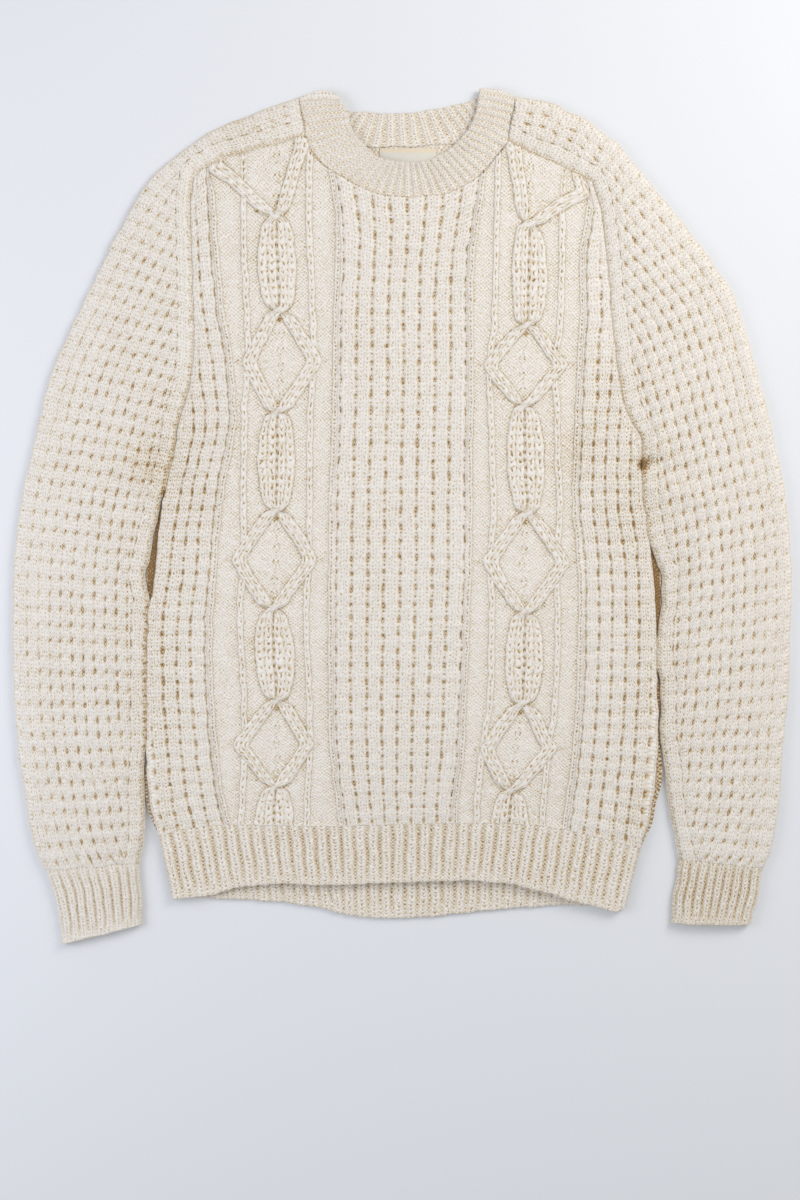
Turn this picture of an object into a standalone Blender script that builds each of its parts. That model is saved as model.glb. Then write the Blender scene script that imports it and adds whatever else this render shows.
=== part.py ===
"""Cable knit pullover with saddle shoulders, laid flat on its back, front up.

Each solid is a piece that a knitter makes and sews on: front, back, two sleeves with their saddles,
neckband, hem ribs, cuffs and a bare label. The origin is on the surface under the middle of the
garment, +Y runs to the neck, +X to the viewer's right and +Z up. The tables are in millimetres.
"""

import math
from collections import namedtuple

import bmesh
import bpy

MM = 0.001

# Cloth, in millimetres
WALL = 3.0  # knitted cloth between its cables and ribs
EDGE_WALL = 1.9  # the same cloth where it is drawn into a seam
SEAM = 0.5  # clearance between pieces that are sewn together
NECK_SEAM = 0.8  # the same round the neck, where the seam bends sharply
LAYER = 0.5  # clearance between a layer and the one it lies on
UPPER = WALL + LAYER  # underside of the upper layer
LOFT = 2.4  # how far the upper layer stands off the lower one in the middle
HEM_ARCH = 3.3  # how far the front hem's free edge stands off the back hem

# Knitting, in millimetres
CENTRE_WALES = 8  # waffle ribs between the two cables
WAFFLE_RISE = 2.1
SLEEVE_WALE = 10.0  # one waffle rib on a sleeve
SLEEVE_RISE = 2.1
STRAND_RISE = 3.3  # knit columns of a cable over the purl ground
GROOVE_RISE = 1.7  # groove between the two knit columns of one band
KNOT_HALF = 10.0  # half the width of a cable where its bands cross
BAND = 13.0  # width of a diamond's band, measured across the garment
SLIT_HALF = 0.7
SEED_RISE = 0.8  # column of seed stitches up the middle of a diamond
LINE_OFFSET = 29.5  # single knit column beside a cable
LINE_HALF = 2.6
LINE_RISE = 2.0
BORDER = 6.4  # knit rib between a cable's ground and the waffle, narrower at the shoulder's end
BORDER_RISE = 2.1
HEM_RIBS = 37
HEM_CREST, HEM_VALLEY = 1.3, -0.8
CUFF_RIBS = 9
NECK_RISE = 0.9
FRONT_NECK_RIBS = 36
BACK_NECK_RIBS = 18

# The body's outline. A level is a height on the cloth before the hem and the shoulders bend it.
FOOT, HEM_BEND, YOKE_BEND, HEAD = -285.0, -200.0, 190.0, 300.0
PIT = 40.0
LEFT_EDGE = (  # level, x
    (FOOT, -219.5), (-263, -225), (-243, -228.5), (-206, -229.5), (-162, -229.5), (-115, -229),
    (-83, -226.8), (-60, -222.5), (-13, -218.7), (7, -216), (PIT, -209), (60, -204), (86, -200),
    (115, -191.7), (138, -188.5), (165, -187.5), (223, -189), (265, -190.5), (284, -190), (HEAD, -187),
)
RIGHT_EDGE = (  # level, x
    (FOOT, 214.5), (-263, 222.5), (-242, 227), (-206, 230.5), (-154, 229.5), (-111, 227.7),
    (-60, 226.8), (-13, 219.5), (14, 215), (PIT, 215.5), (68, 215), (84, 206.5), (99, 200.5),
    (145, 192.6), (194, 187.2), (235, 183.6), (275, 179), (HEAD, 171),
)
HEM_LINE = (  # x, y
    (-219.5, -288.5), (-195, -282), (-161, -278), (-118, -278.6), (-50, -278.6), (44, -276.8),
    (89, -276.5), (142, -281), (174, -289), (214.5, -299),
)
LEFT_SHOULDER = ((-187, 304), (-178, 312.5), (-157, 322.5), (-121, 332), (-87, 341.5))  # x, y
NECKLINE = (  # x, y
    (-87, 341.5), (-80.5, 326), (-67, 312), (-45, 299), (-22, 289), (5, 286), (41, 289.5),
    (67.5, 303), (87, 325), (96, 337),
)
RIGHT_SHOULDER = ((96, 337), (114, 326), (132, 319.5), (156, 307.5), (171, 300))
BACK_NECKLINE = (  # x, y
    (-87, 341.5), (-80, 337), (-60, 333), (0, 332), (52, 335), (85, 336.5), (96, 337),
)
ARMHOLE_LEVELS = (HEAD, 284, 262, 235, 205, 175, 145, 118, 99, 84, 68, 54, PIT)
SIDE_LEVELS = (14, -13, -36, -60, -83, -115, -160, -206, -243, -263, -278, FOOT)
WAFFLE_LEVELS = (
    HEAD, 290, 262, 225, 190, 145, 99, 68, PIT, -13, -60, -110, -160, -200, -243, -277, FOOT,
)
LINING_LEVELS = (HEAD, 235, 145, 99, PIT, -60, -160, -243, FOOT)
CABLE_ROWS = 6  # rows of points from one crossing to the next

# Cables. Each motif runs from an upper crossing to the next one down, and its reach is how far
# its band stands out to the left and to the right. The borders are where the waffle begins.
Motif = namedtuple("Motif", "top bottom kind reach_left reach_right")
Cable = namedtuple("Cable", "outside middle left_border right_border motifs")
LEFT_CABLE = Cable(
    outside=-1,
    middle=(  # level, x
        (FOOT, -115), (-247, -113.5), (-206, -111.8), (-166, -112.5), (-84, -116), (-40, -113),
        (5, -112.9), (93, -112), (138, -109), (184, -110), (250, -113), (HEAD, -112),
    ),
    left_border=(  # level, x
        (FOOT, -160), (-256, -166.5), (-206, -172.5), (-140, -176.8), (-92, -176.7), (-50, -172.7),
        (-12, -170.5), (30, -165), (80, -155.5), (107, -156), (148, -160), (185, -166.5),
        (240, -172), (HEAD, -176),
    ),
    right_border=(  # level, x
        (FOOT, -50), (-267, -52), (-227, -57.3), (-175, -59.8), (0, -59), (94, -56), (185, -54.8),
        (240, -52.5), (270, -54), (HEAD, -60),
    ),
    motifs=(
        Motif(344, 250, "diamond", 62, 30),
        Motif(250, 184, "rope", 18, 16.5),
        Motif(184, 93, "diamond", 36, 38),
        Motif(93, 5, "rope", 16.5, 16.5),
        Motif(5, -84, "diamond", 42, 38),
        Motif(-84, -166, "rope", 17.5, 17.5),
        Motif(-166, -247, "diamond", 41, 34),
        Motif(-247, -330, "rope", 18, 17),
    ),
)
RIGHT_CABLE = Cable(
    outside=1,
    middle=(  # level, x
        (FOOT, 96.5), (-252, 98), (-206, 102.5), (-169, 108), (-87, 110.3), (-43, 108.6), (2, 112),
        (50, 110.5), (99, 109.5), (135, 107.5), (171, 112.5), (248, 114.5), (HEAD, 116),
    ),
    left_border=(  # level, x
        (FOOT, 43), (-260, 44), (-222, 48.6), (-175, 51), (-88, 54.4), (-43, 56), (60, 56.5),
        (135, 57.9), (200, 57.3), (242, 59.7), (258, 62.3), (HEAD, 69.5),
    ),
    right_border=(  # level, x
        (FOOT, 150.5), (-273, 152), (-206, 160.2), (-140, 163.8), (-70, 165), (-30, 163.3),
        (10, 159.5), (60, 161), (104, 163), (150, 164.2), (180, 166.6), (233, 166), (258, 170),
        (275, 172.3), (290, 169), (HEAD, 165.5),
    ),
    motifs=(
        Motif(342, 248, "diamond", 23, 60),
        Motif(248, 171, "rope", 15, 16.5),
        Motif(171, 99, "diamond", 36, 43),
        Motif(99, 2, "rope", 16, 17),
        Motif(2, -87, "diamond", 37, 44),
        Motif(-87, -169, "rope", 17, 17),
        Motif(-169, -252, "diamond", 33, 38),
        Motif(-252, -335, "rope", 17, 17),
    ),
)
LEFT_WALE, RIGHT_WALE = 13.2, 12.2  # waffle ribs between a cable and the side seam
LEFT_SIDE_WALES, RIGHT_SIDE_WALES = 4, 5

# Sleeves. The fold is the outer silhouette, from the neck over the shoulder to the wrist.
Sleeve = namedtuple("Sleeve", "saddle_fold cap_fold arm_fold arm_seam")
LEFT_SLEEVE = Sleeve(
    saddle_fold=((-93, 377), (-111.5, 371), (-142, 359), (-167, 348.5), (-182, 340), (-205, 323)),
    cap_fold=(
        (-205, 323), (-227, 303), (-257, 254), (-274.5, 219), (-288, 190), (-302, 162),
        (-315, 131), (-327, 86), (-333, 58),
    ),
    arm_fold=(
        (-333, 58), (-341, 27), (-346.5, -10), (-350.4, -49), (-351.2, -106), (-349.5, -162),
        (-346.5, -202), (-341, -243), (-333, -291), (-323.5, -320),
    ),
    arm_seam=(
        (-210.5, 38), (-220.5, -1), (-229.5, -39), (-233, -60), (-232, -81), (-232, -115),
        (-232, -206), (-231.8, -243), (-231.3, -281), (-235, -312),
    ),
)
RIGHT_SLEEVE = Sleeve(
    saddle_fold=((103, 378.5), (110, 376.5), (137, 371.5), (149, 364.5), (168, 355), (193, 336)),
    cap_fold=(
        (193, 336), (210.5, 316), (228, 294), (256.5, 259), (296, 203), (317, 141), (326, 106),
        (332.5, 82),
    ),
    arm_fold=(
        (332.5, 82), (345.6, 18), (350.5, -34), (351.2, -68), (349.5, -120), (347.5, -165),
        (344, -200), (339.5, -262), (333, -299), (328, -317),
    ),
    arm_seam=(
        (217.3, 39), (218, 14), (222.5, -13), (230, -40), (234, -60), (232.5, -90), (232.5, -111),
        (233.5, -160), (235, -206), (236.5, -225), (240, -262), (246, -292), (248.5, -309),
    ),
)
ARM_SECTIONS = 9
HALF_WALES = 22
SQUEEZE = 0.25  # spacing of the points of ribs that end in a seam
SEAM_STRIP = 1.4  # plain strip along a seam

Cuff = namedtuple("Cuff", "fold seam")
LEFT_CUFF = Cuff(
    fold=((-320.4, -320.4), (-312, -345), (-306.5, -384.9)),
    seam=((-236.5, -312.8), (-234, -340), (-233, -367)),
)
RIGHT_CUFF = Cuff(
    fold=((324.9, -317.3), (320, -347), (313.5, -367.5)),
    seam=((250, -309.8), (243.5, -344), (242, -366.5)),
)
CUFF_SECTIONS = 5

FRONT_HEM_EDGE = (  # x, y
    (-207, -344), (-171, -340), (-151, -334), (-108, -330), (-69, -331), (9, -328.5), (61, -327),
    (100, -331), (131, -338.5), (153, -345), (174, -351), (192, -355), (201.5, -352),
)
BACK_HEM_EDGE = (  # x, y
    (-206, -342), (-171, -344), (-128, -346), (-89, -350), (-40, -360), (-11, -362), (29, -360.5),
    (67.5, -356), (110, -352), (153, -350), (180, -351), (200, -350),
)

# Neckband, from the left fold round the front to the right fold, and back behind. Each row holds
# a point on the seam and the matching one on the free edge.
NECKBAND_FRONT = (  # seam_x, seam_y, edge_x, edge_y
    (-92.4, 373, -57, 374), (-89.6, 357, -50, 362), (-87, 341.5, -46.5, 350), (-80.5, 326, -42, 340),
    (-67, 312, -34, 332.5), (-45, 299, -22.5, 322.5), (-22, 289, -9, 318), (5, 286, 5, 316.4),
    (41, 289.5, 24, 318.5), (67.5, 303, 42, 328.5), (87, 325, 57, 341.5), (96, 337, 63, 350),
    (99.4, 357, 69, 365), (102.3, 374.5, 71, 380),
)
NECKBAND_BACK = (  # seam_x, seam_y, edge_x, edge_y
    (102.3, 374.5, 71, 380), (99.6, 358, 67, 376), (96, 341, 60, 373), (82, 337, 50, 370),
    (52, 335, 34, 367), (20, 333, 12, 362.8), (-14, 332, -12, 361.4), (-50, 332.6, -33, 362.6),
    (-77, 336.5, -46, 363.6), (-87, 345, -51, 366), (-89.8, 358, -54, 369.5), (-92.4, 373, -57, 374),
)
LEFT_BOW = 5.5  # how far the band's middle stands out past its two edges at the left fold
RIGHT_BOW = 1.8  # the same at the right fold
FOLD_HEIGHT = UPPER - 0.1  # height that the band turns round at its shoulder folds
NECK_RADII = (  # outer front, inner front, inner back, outer back: distances from that height
    (3.5, 0.35, 0.4, FOLD_HEIGHT),  # at the seam
    (5.3, 1.3, 0.4, FOLD_HEIGHT),  # along the middle
    (5.3, 1.9, 0.4, FOLD_HEIGHT),  # at the free edge
)
FOLD_TILTS = (60, 30, 0, -30, -60)

CREASES = (  # soft folds of the upper layer: from_x, from_y, to_x, to_y, half_width, height
    (-214, 30, -238, 78, 9, -1.7),
    (-226, 22, -262, 66, 11, 1.5),
    (-196, 70, -172, 20, 12, 1.2),
    (-300, 60, -262, -40, 16, 0.9),
    (226, 62, 238, 108, 11, 1.8),
    (221, 46, 252, 40, 8, -1.9),
    (228, 26, 272, 14, 11, 1.4),
    (200, 66, 176, 10, 12, 1.1),
    (300, 70, 268, -50, 16, 0.9),
)

LABEL = {"left": -20, "right": 31, "bottom": 305, "top": 331, "thick": 0.6}

CREAM = (0.80, 0.72, 0.60)
RIB_CREAM = (0.78, 0.69, 0.56)
SATIN = (0.83, 0.75, 0.60)


def along(rows, key):
    """The other columns of a table at a key between its rows, on a smooth curve through them."""
    last = len(rows) - 1
    i = 0
    while i < last - 1 and key > rows[i + 1][0]:
        i += 1
    start, end = rows[i], rows[i + 1]
    before, after = rows[max(i - 1, 0)], rows[min(i + 2, last)]
    span = end[0] - start[0]
    t = min(max((key - start[0]) / span, 0.0), 1.0)
    values = []
    for column in range(1, len(start)):
        leave = (end[column] - before[column]) / (end[0] - before[0]) * span
        arrive = (after[column] - start[column]) / (after[0] - start[0]) * span
        rise = end[column] - start[column]
        bend = (leave + arrive - 2 * rise) * t + 3 * rise - 2 * leave - arrive
        values.append(start[column] + t * (leave + t * bend))
    return values


def value(rows, key):
    return along(rows, key)[0]


def straight(rows, x):
    """Height at x on the straight stretches between the rows of a seam."""
    for (start_x, start_y), (end_x, end_y) in zip(rows, rows[1:]):
        if x <= end_x:
            break
    return start_y + (x - start_x) / (end_x - start_x) * (end_y - start_y)


def path(points):
    """A table of the curve through points, keyed by the share of its length."""
    lengths = [0.0]
    for start, end in zip(points, points[1:]):
        lengths.append(lengths[-1] + math.dist(start, end))
    return [(length / lengths[-1], *point) for length, point in zip(lengths, points)]


def shares(count):
    return [i / count for i in range(count + 1)]


def clamp(number, low=0.0, high=1.0):
    return min(max(number, low), high)


def crease(x, y):
    """Height of the soft folds at a point of the upper layer."""
    height = 0.0
    for from_x, from_y, to_x, to_y, half_width, rise in CREASES:
        run_x, run_y = to_x - from_x, to_y - from_y
        reach = clamp(((x - from_x) * run_x + (y - from_y) * run_y) / (run_x**2 + run_y**2))
        distance = math.dist((x, y), (from_x + reach * run_x, from_y + reach * run_y))
        height += rise * math.exp(-((distance / half_width) ** 2))
    return height


def top_line(x, neckline):
    """Upper outline of the body: the two shoulder seams with a neckline between them."""
    if x <= neckline[0][0]:
        return straight(LEFT_SHOULDER, x)
    if x >= neckline[-1][0]:
        return straight(RIGHT_SHOULDER, x)
    return value(neckline, x)


def cloth_y(x, level, neckline=NECKLINE):
    """Where a level lies on the garment at x, once the hem and the shoulders have bent it."""
    down = clamp((HEM_BEND - level) / (HEM_BEND - FOOT))
    up = clamp((level - YOKE_BEND) / (HEAD - YOKE_BEND))
    return level + down * (value(HEM_LINE, x) - FOOT) + up * (top_line(x, neckline) - HEAD)


def body_loft(x, level):
    """How far the front stands off the back."""
    left, right = value(LEFT_EDGE, level), value(RIGHT_EDGE, level)
    across = clamp((2 * x - left - right) / (right - left), -1.0, 1.0)
    return LOFT * (1 - across**4)


def make_object(name, points, faces, color):
    """A named object from points in millimetres, with its faces turned outwards."""
    mesh = bpy.data.meshes.new(name)
    shape = bmesh.new()
    corners = [shape.verts.new([coordinate * MM for coordinate in point]) for point in points]
    for face in faces:
        shape.faces.new([corners[index] for index in face])
    bmesh.ops.recalc_face_normals(shape, faces=shape.faces)
    shape.to_mesh(mesh)
    shape.free()
    mesh.shade_smooth()
    mesh.set_sharp_from_angle(angle=math.radians(14))
    mesh.materials.append(wool(name, color))
    obj = bpy.data.objects.new(name, mesh)
    bpy.context.collection.objects.link(obj)
    return obj


def wool(name, color):
    material = bpy.data.materials.new(name + "_yarn")
    material.use_nodes = True
    shader = material.node_tree.nodes["Principled BSDF"]
    shader.inputs["Base Color"].default_value = (*color, 1.0)
    shader.inputs["Roughness"].default_value = 0.9
    shader.inputs["Metallic"].default_value = 0.0
    return material


# Front panel

Column = namedtuple("Column", "x rise levels")  # x and rise are functions of the level


BAND_PROFILE = (  # share of a band's width, height: two knit columns with a groove between
    (0.0, 0.0), (0.13, STRAND_RISE), (0.37, STRAND_RISE), (0.5, GROOVE_RISE),
    (0.63, STRAND_RISE), (0.87, STRAND_RISE), (1.0, 0.0),
)
WALE_PROFILE = ((0.0, 0.0), (0.24, WAFFLE_RISE), (0.76, WAFFLE_RISE))  # share of a rib, height


def motif_at(cable, level):
    for motif in cable.motifs:
        if level > motif.bottom:
            return motif
    return cable.motifs[-1]


def border_width(cable, level, side):
    return BORDER * clamp((HEAD + 4 - level) / 30) if side == cable.outside else BORDER


def ground_reach(cable, level, side):
    """How far the purl ground reaches from the cable's middle on one side."""
    border = cable.left_border if side < 0 else cable.right_border
    middle = value(cable.middle, level)
    return side * (value(border, level) - middle) - border_width(cable, level, side)


def band_edges(cable, level, side):
    """Inner and outer edge of a cable's band on one side, measured from the cable's middle."""
    motif = motif_at(cable, level)
    share = clamp((motif.top - level) / (motif.top - motif.bottom))
    reach = motif.reach_left if side < 0 else motif.reach_right
    if motif.kind == "rope":
        swell = math.sin(math.pi * share) ** 0.6
        return SLIT_HALF, KNOT_HALF + (reach - KNOT_HALF) * swell
    out = 1 - abs(2 * share - 1)
    middle = KNOT_HALF / 2 + (reach - BAND / 2 - KNOT_HALF / 2) * out
    limit = ground_reach(cable, level, side) - 1.2
    outer = min(middle + BAND / 2, limit)
    return max(outer - BAND, SLIT_HALF), outer


def line_place(cable, level, side):
    """Middle, half width and height of the knit line, pushed aside where a diamond is wide."""
    free_from = band_edges(cable, level, side)[1] + 0.3
    free_to = ground_reach(cable, level, side) - 0.3
    half = min(LINE_HALF, (free_to - free_from) / 2)
    middle = min(max(LINE_OFFSET, free_from + half), free_to - half)
    return middle, half, LINE_RISE * clamp((LINE_OFFSET - free_from) / 6)


def cable_levels(cable):
    """Rows of points that hit each crossing and each corner of a diamond."""
    levels = {HEAD, FOOT, FOOT + 7, HEAD - 8}
    for motif in cable.motifs:
        for share in shares(CABLE_ROWS):
            level = motif.top + share * (motif.bottom - motif.top)
            if FOOT + 10 < level < HEAD - 11:
                levels.add(level)
    return sorted(levels)


def cable_columns(cable):
    """Columns of points across a cable and the purl ground on both sides of it."""
    levels = cable_levels(cable)

    def column(side, offset, rise):
        return Column(
            lambda level: value(cable.middle, level) + side * offset(level), rise, levels
        )

    def half(side):
        columns = []
        for share, height in BAND_PROFILE:

            def offset(level, share=share):
                inner, outer = band_edges(cable, level, side)
                return inner + share * (outer - inner)

            columns.append(column(side, offset, lambda level, height=height: height))
        for place in (-1, 0, 1):

            def offset(level, place=place):
                middle, half_width, _ = line_place(cable, level, side)
                return middle + place * half_width

            def rise(level, place=place):
                return line_place(cable, level, side)[2] * (1 - abs(place))

            columns.append(column(side, offset, rise))
        if side != cable.outside:
            line = columns[-1].x

            def offset(level):
                line_end = side * (line(level) - value(cable.middle, level))
                return (line_end + ground_reach(cable, level, side)) / 2

            columns.append(column(side, offset, lambda level: 0.0))
        for part, height in ((0.0, 0.0), (0.5, BORDER_RISE), (1.0, 0.0)):

            def offset(level, part=part):
                return ground_reach(cable, level, side) + part * border_width(cable, level, side)

            columns.append(column(side, offset, lambda level, height=height: height))
        return columns

    def seed_rise(level):
        return SEED_RISE if motif_at(cable, level).kind == "diamond" else 0.0

    middle = column(0, lambda level: 0.0, seed_rise)
    return half(-1)[::-1] + [middle] + half(1)


def centre_columns():
    """Columns of the waffle between the two cables, without the two border lines themselves."""
    columns = []
    for wale in range(CENTRE_WALES):
        for part, height in WALE_PROFILE:
            share = (wale + part) / CENTRE_WALES
            if share == 0:
                continue

            def place(level, share=share):
                left = value(LEFT_CABLE.right_border, level)
                return left + share * (value(RIGHT_CABLE.left_border, level) - left)

            columns.append(Column(place, lambda level, height=height: height, WAFFLE_LEVELS[::-1]))
    return columns


def side_columns(edge, border, side, wale, wales):
    """Columns from a cable's border to the side seam, each rib at its pitch until the seam ends it."""
    spots = [(number + part, height) for number in range(wales) for part, height in WALE_PROFILE]
    levels = (ARMHOLE_LEVELS + SIDE_LEVELS)[::-1]
    columns = []
    for number, (spot, height) in enumerate(spots[1:]):
        crowd = SEAM_STRIP + SQUEEZE * (len(spots) - number)

        def room(level, crowd=crowd):
            return side * (value(edge, level) - value(border, level)) - crowd

        def place(level, spot=spot, room=room):
            return value(border, level) + side * min(spot * wale, room(level))

        def rise(level, spot=spot, room=room, height=height):
            return height * clamp((room(level) - spot * wale) / 2)

        columns.append(Column(place, rise, levels))
    columns.append(
        Column(lambda level: value(edge, level) - side * SEAM_STRIP, lambda level: 0.0, levels)
    )
    columns.append(Column(lambda level: value(edge, level), lambda level: EDGE_WALL - WALL, levels))
    return columns


def front_columns():
    left = side_columns(LEFT_EDGE, LEFT_CABLE.left_border, -1, LEFT_WALE, LEFT_SIDE_WALES)
    right = side_columns(RIGHT_EDGE, RIGHT_CABLE.right_border, 1, RIGHT_WALE, RIGHT_SIDE_WALES)
    return (
        left[::-1]
        + cable_columns(LEFT_CABLE)
        + centre_columns()
        + cable_columns(RIGHT_CABLE)
        + right
    )


def front_point(column, level, inside):
    x = column.x(level)
    y = cloth_y(x, level)
    low = UPPER + body_loft(x, level)
    if inside:
        return x, y, low
    drawn_in = 0.8 if level in (FOOT, HEAD) else 0.0
    return x, y, max(low + WALL + column.rise(level) + crease(x, y) - drawn_in, low + 1.5)


def zip_columns(left, right):
    """Triangles between two columns, whose points are (level, index) pairs going up."""
    faces = []
    i = j = 0
    while i + 1 < len(left) or j + 1 < len(right):
        take_left = j + 1 == len(right) or (i + 1 < len(left) and left[i + 1][0] <= right[j + 1][0])
        if take_left:
            faces.append((left[i][1], right[j][1], left[i + 1][1]))
            i += 1
        else:
            faces.append((left[i][1], right[j][1], right[j + 1][1]))
            j += 1
    return faces


def build_front():
    """Relief on top, a plain lining side with few faces, and a wall round the outline."""
    columns = front_columns()
    last = len(columns) - 1
    points, faces, outer = [], [], []
    for column in columns:
        outer.append([])
        for level in column.levels:
            outer[-1].append((level, len(points)))
            points.append(front_point(column, level, inside=False))
    for left, right in zip(outer, outer[1:]):
        faces += zip_columns(left, right)

    lining_columns = sorted({*range(0, last, 9), last})
    inner = {}

    def lining(number, level):
        if (number, level) not in inner:
            inner[number, level] = len(points)
            points.append(front_point(columns[number], level, inside=True))
        return inner[number, level]

    levels = LINING_LEVELS[::-1]
    for left, right in zip(lining_columns, lining_columns[1:]):
        for low, high in zip(levels, levels[1:]):
            bottom = range(left, right + 1) if low == FOOT else (left, right)
            top = range(right, left - 1, -1) if high == HEAD else (right, left)
            corner = [lining(number, low) for number in bottom]
            if right == last:
                corner += [lining(last, level) for level, _ in outer[last] if low < level < high]
            corner += [lining(number, high) for number in top]
            if left == 0:
                between = [level for level, _ in outer[0] if low < level < high]
                corner += [lining(0, level) for level in reversed(between)]
            if len(corner) == 4:
                faces.append(corner)
                continue
            level = (low + high) / 2
            x = (columns[left].x(level) + columns[right].x(level)) / 2
            hub = len(points)
            points.append((x, cloth_y(x, level), UPPER + body_loft(x, level)))
            faces += [(start, end, hub) for start, end in zip(corner, corner[1:] + corner[:1])]

    for left in range(last):
        for level, spot in ((FOOT, 0), (HEAD, -1)):
            faces.append(
                (outer[left][spot][1], outer[left + 1][spot][1], lining(left + 1, level),
                 lining(left, level))
            )
    for number in (0, last):
        for (low, start), (high, end) in zip(outer[number], outer[number][1:]):
            faces.append((start, end, lining(number, high), lining(number, low)))
    make_object("front_panel", points, faces, CREAM)


# Back panel


def build_back():
    """A plain slab: the outline at three heights, the lowest one drawn in as a soft edge."""
    outline = []
    for level in reversed(ARMHOLE_LEVELS + SIDE_LEVELS):
        outline.append((value(RIGHT_EDGE, level), level))
    tops = [(1 - share) * value(RIGHT_EDGE, HEAD) + share * value(LEFT_EDGE, HEAD)
            for share in shares(30)]
    outline += [(x, HEAD) for x in tops[1:-1]]
    for level in ARMHOLE_LEVELS + SIDE_LEVELS:
        outline.append((value(LEFT_EDGE, level), level))
    bottoms = [(1 - share) * value(LEFT_EDGE, FOOT) + share * value(RIGHT_EDGE, FOOT)
               for share in shares(HEM_RIBS)]
    outline += [(x, FOOT) for x in bottoms[1:-1]]
    flat = [(x, cloth_y(x, level, BACK_NECKLINE)) for x, level in outline]
    count = len(flat)
    points = [(x, y, WALL) for x, y in flat] + [(x, y, 1.3) for x, y in flat]
    for number, (x, y) in enumerate(flat):
        before, after = flat[number - 1], flat[(number + 1) % count]
        run_x, run_y = after[0] - before[0], after[1] - before[1]
        length = math.hypot(run_x, run_y)
        points.append((x - 3 * run_y / length, y + 3 * run_x / length, 0.0))
    faces = [list(range(count)), list(range(2 * count, 3 * count))]
    for ring in (0, count):
        for number in range(count):
            after = (number + 1) % count
            faces.append((ring + number, ring + after, ring + count + after, ring + count + number))
    make_object("back_panel", points, faces, CREAM)


# Pieces folded double: sleeves and cuffs


def puff(share):
    return LOFT * math.sin(math.pi * clamp(share))


def fold_section(width, spots, rises):
    """Outline of cloth folded double, as (distance from the fold, height) pairs: over the top to
    the free edges, back between the layers, and along the underside to the fold."""
    middle = UPPER - LAYER / 2
    over = [(0.0, middle), (1.2, middle + 2.5), (3.2, UPPER + WALL - 0.4)]
    for spot, rise in zip(spots, rises):
        over.append((spot, UPPER + puff(spot / width) + WALL + rise))
    over.append((width, UPPER + EDGE_WALL))
    between = [(width, UPPER)]
    for distance in (0.75 * width, 0.5 * width, 0.25 * width, 5.0):
        between.append((distance, UPPER + puff(distance / width)))
    between += [(2.7, middle + 0.2), (2.7, middle - 0.2), (5.0, WALL), (width, WALL)]
    beneath = [(width, 1.3), (width - 3.0, 0.0), (4.2, 0.0), (1.2, 1.0)]
    return over + between + beneath, len(over)


def build_folded(name, stations, spots_of, color):
    """Lofts sections between pairs of points, each pair a point of the fold and one of the seam."""
    points, faces = [], []
    for fold, seam in stations:
        width = math.dist(fold, seam)
        step_x, step_y = (seam[0] - fold[0]) / width, (seam[1] - fold[1]) / width
        section, top_count = fold_section(width, *spots_of(width))
        for number, (distance, height) in enumerate(section):
            x, y = fold[0] + step_x * distance, fold[1] + step_y * distance
            if 2 < number < top_count - 1:
                height += crease(x, y)
            points.append((x, y, height))
    count = len(section)
    for ring in range(len(stations) - 1):
        for number in range(count):
            after = (number + 1) % count
            faces.append(
                (ring * count + number, ring * count + after, (ring + 1) * count + after,
                 (ring + 1) * count + number)
            )
    faces.append(range(count))
    faces.append(range((len(stations) - 1) * count, len(stations) * count))
    make_object(name, points, faces, color)


def sleeve_spots(width):
    """Crests and valleys of the waffle at their own pitch from the fold, ending in the seam."""
    spots, rises = [], []
    for number in range(HALF_WALES):
        free = 5.2 + number * SLEEVE_WALE / 2
        limit = width - 1.6 - (HALF_WALES - 1 - number) * SQUEEZE
        spots.append(min(free, limit))
        crest = number % 2 == 1 and free < limit - 2
        rises.append(SLEEVE_RISE if crest else 0.0)
    return spots, rises


def cuff_spots(width):
    spots, rises = [], []
    count = 2 * CUFF_RIBS - 1
    for number in range(count):
        spots.append(4.4 + (width - 6.4) * number / (count - 1))
        rises.append(HEM_CREST if number % 2 == 0 else HEM_VALLEY)
    return spots, rises


def stations_between(folds, seams, count):
    fold_path = path(folds)
    seam_path = path(seams)
    return [(along(fold_path, share), along(seam_path, share)) for share in shares(count)]


def build_sleeve(name, sleeve, shoulder, edge, side):
    """Saddle along the shoulder seam, cap along the armhole, and arm down to the wrist."""
    away = side * SEAM
    fold_path = path(sleeve.saddle_fold)
    stations = []
    for share, x, y in path(shoulder[:: side])[:-1]:
        stations.append((along(fold_path, share), (x, y + 2 * SEAM)))
    fold_path = path(sleeve.cap_fold)
    steps = [0.0]
    for high, low in zip(ARMHOLE_LEVELS, ARMHOLE_LEVELS[1:]):
        steps.append(steps[-1] + high - low)
    for step, level in zip(steps, ARMHOLE_LEVELS[:-1]):
        x = value(edge, level)
        lift = SEAM if level == HEAD else 0.0
        seam = (x + away, cloth_y(x, level) + lift)
        stations.append((along(fold_path, step / steps[-1]), seam))
    stations += stations_between(sleeve.arm_fold, sleeve.arm_seam, ARM_SECTIONS)
    build_folded(name, stations, sleeve_spots, CREAM)


def build_cuff(name, cuff):
    stations = stations_between(cuff.fold, cuff.seam, CUFF_SECTIONS)
    build_folded(name, stations, cuff_spots, RIB_CREAM)


# Hem ribs


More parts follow.
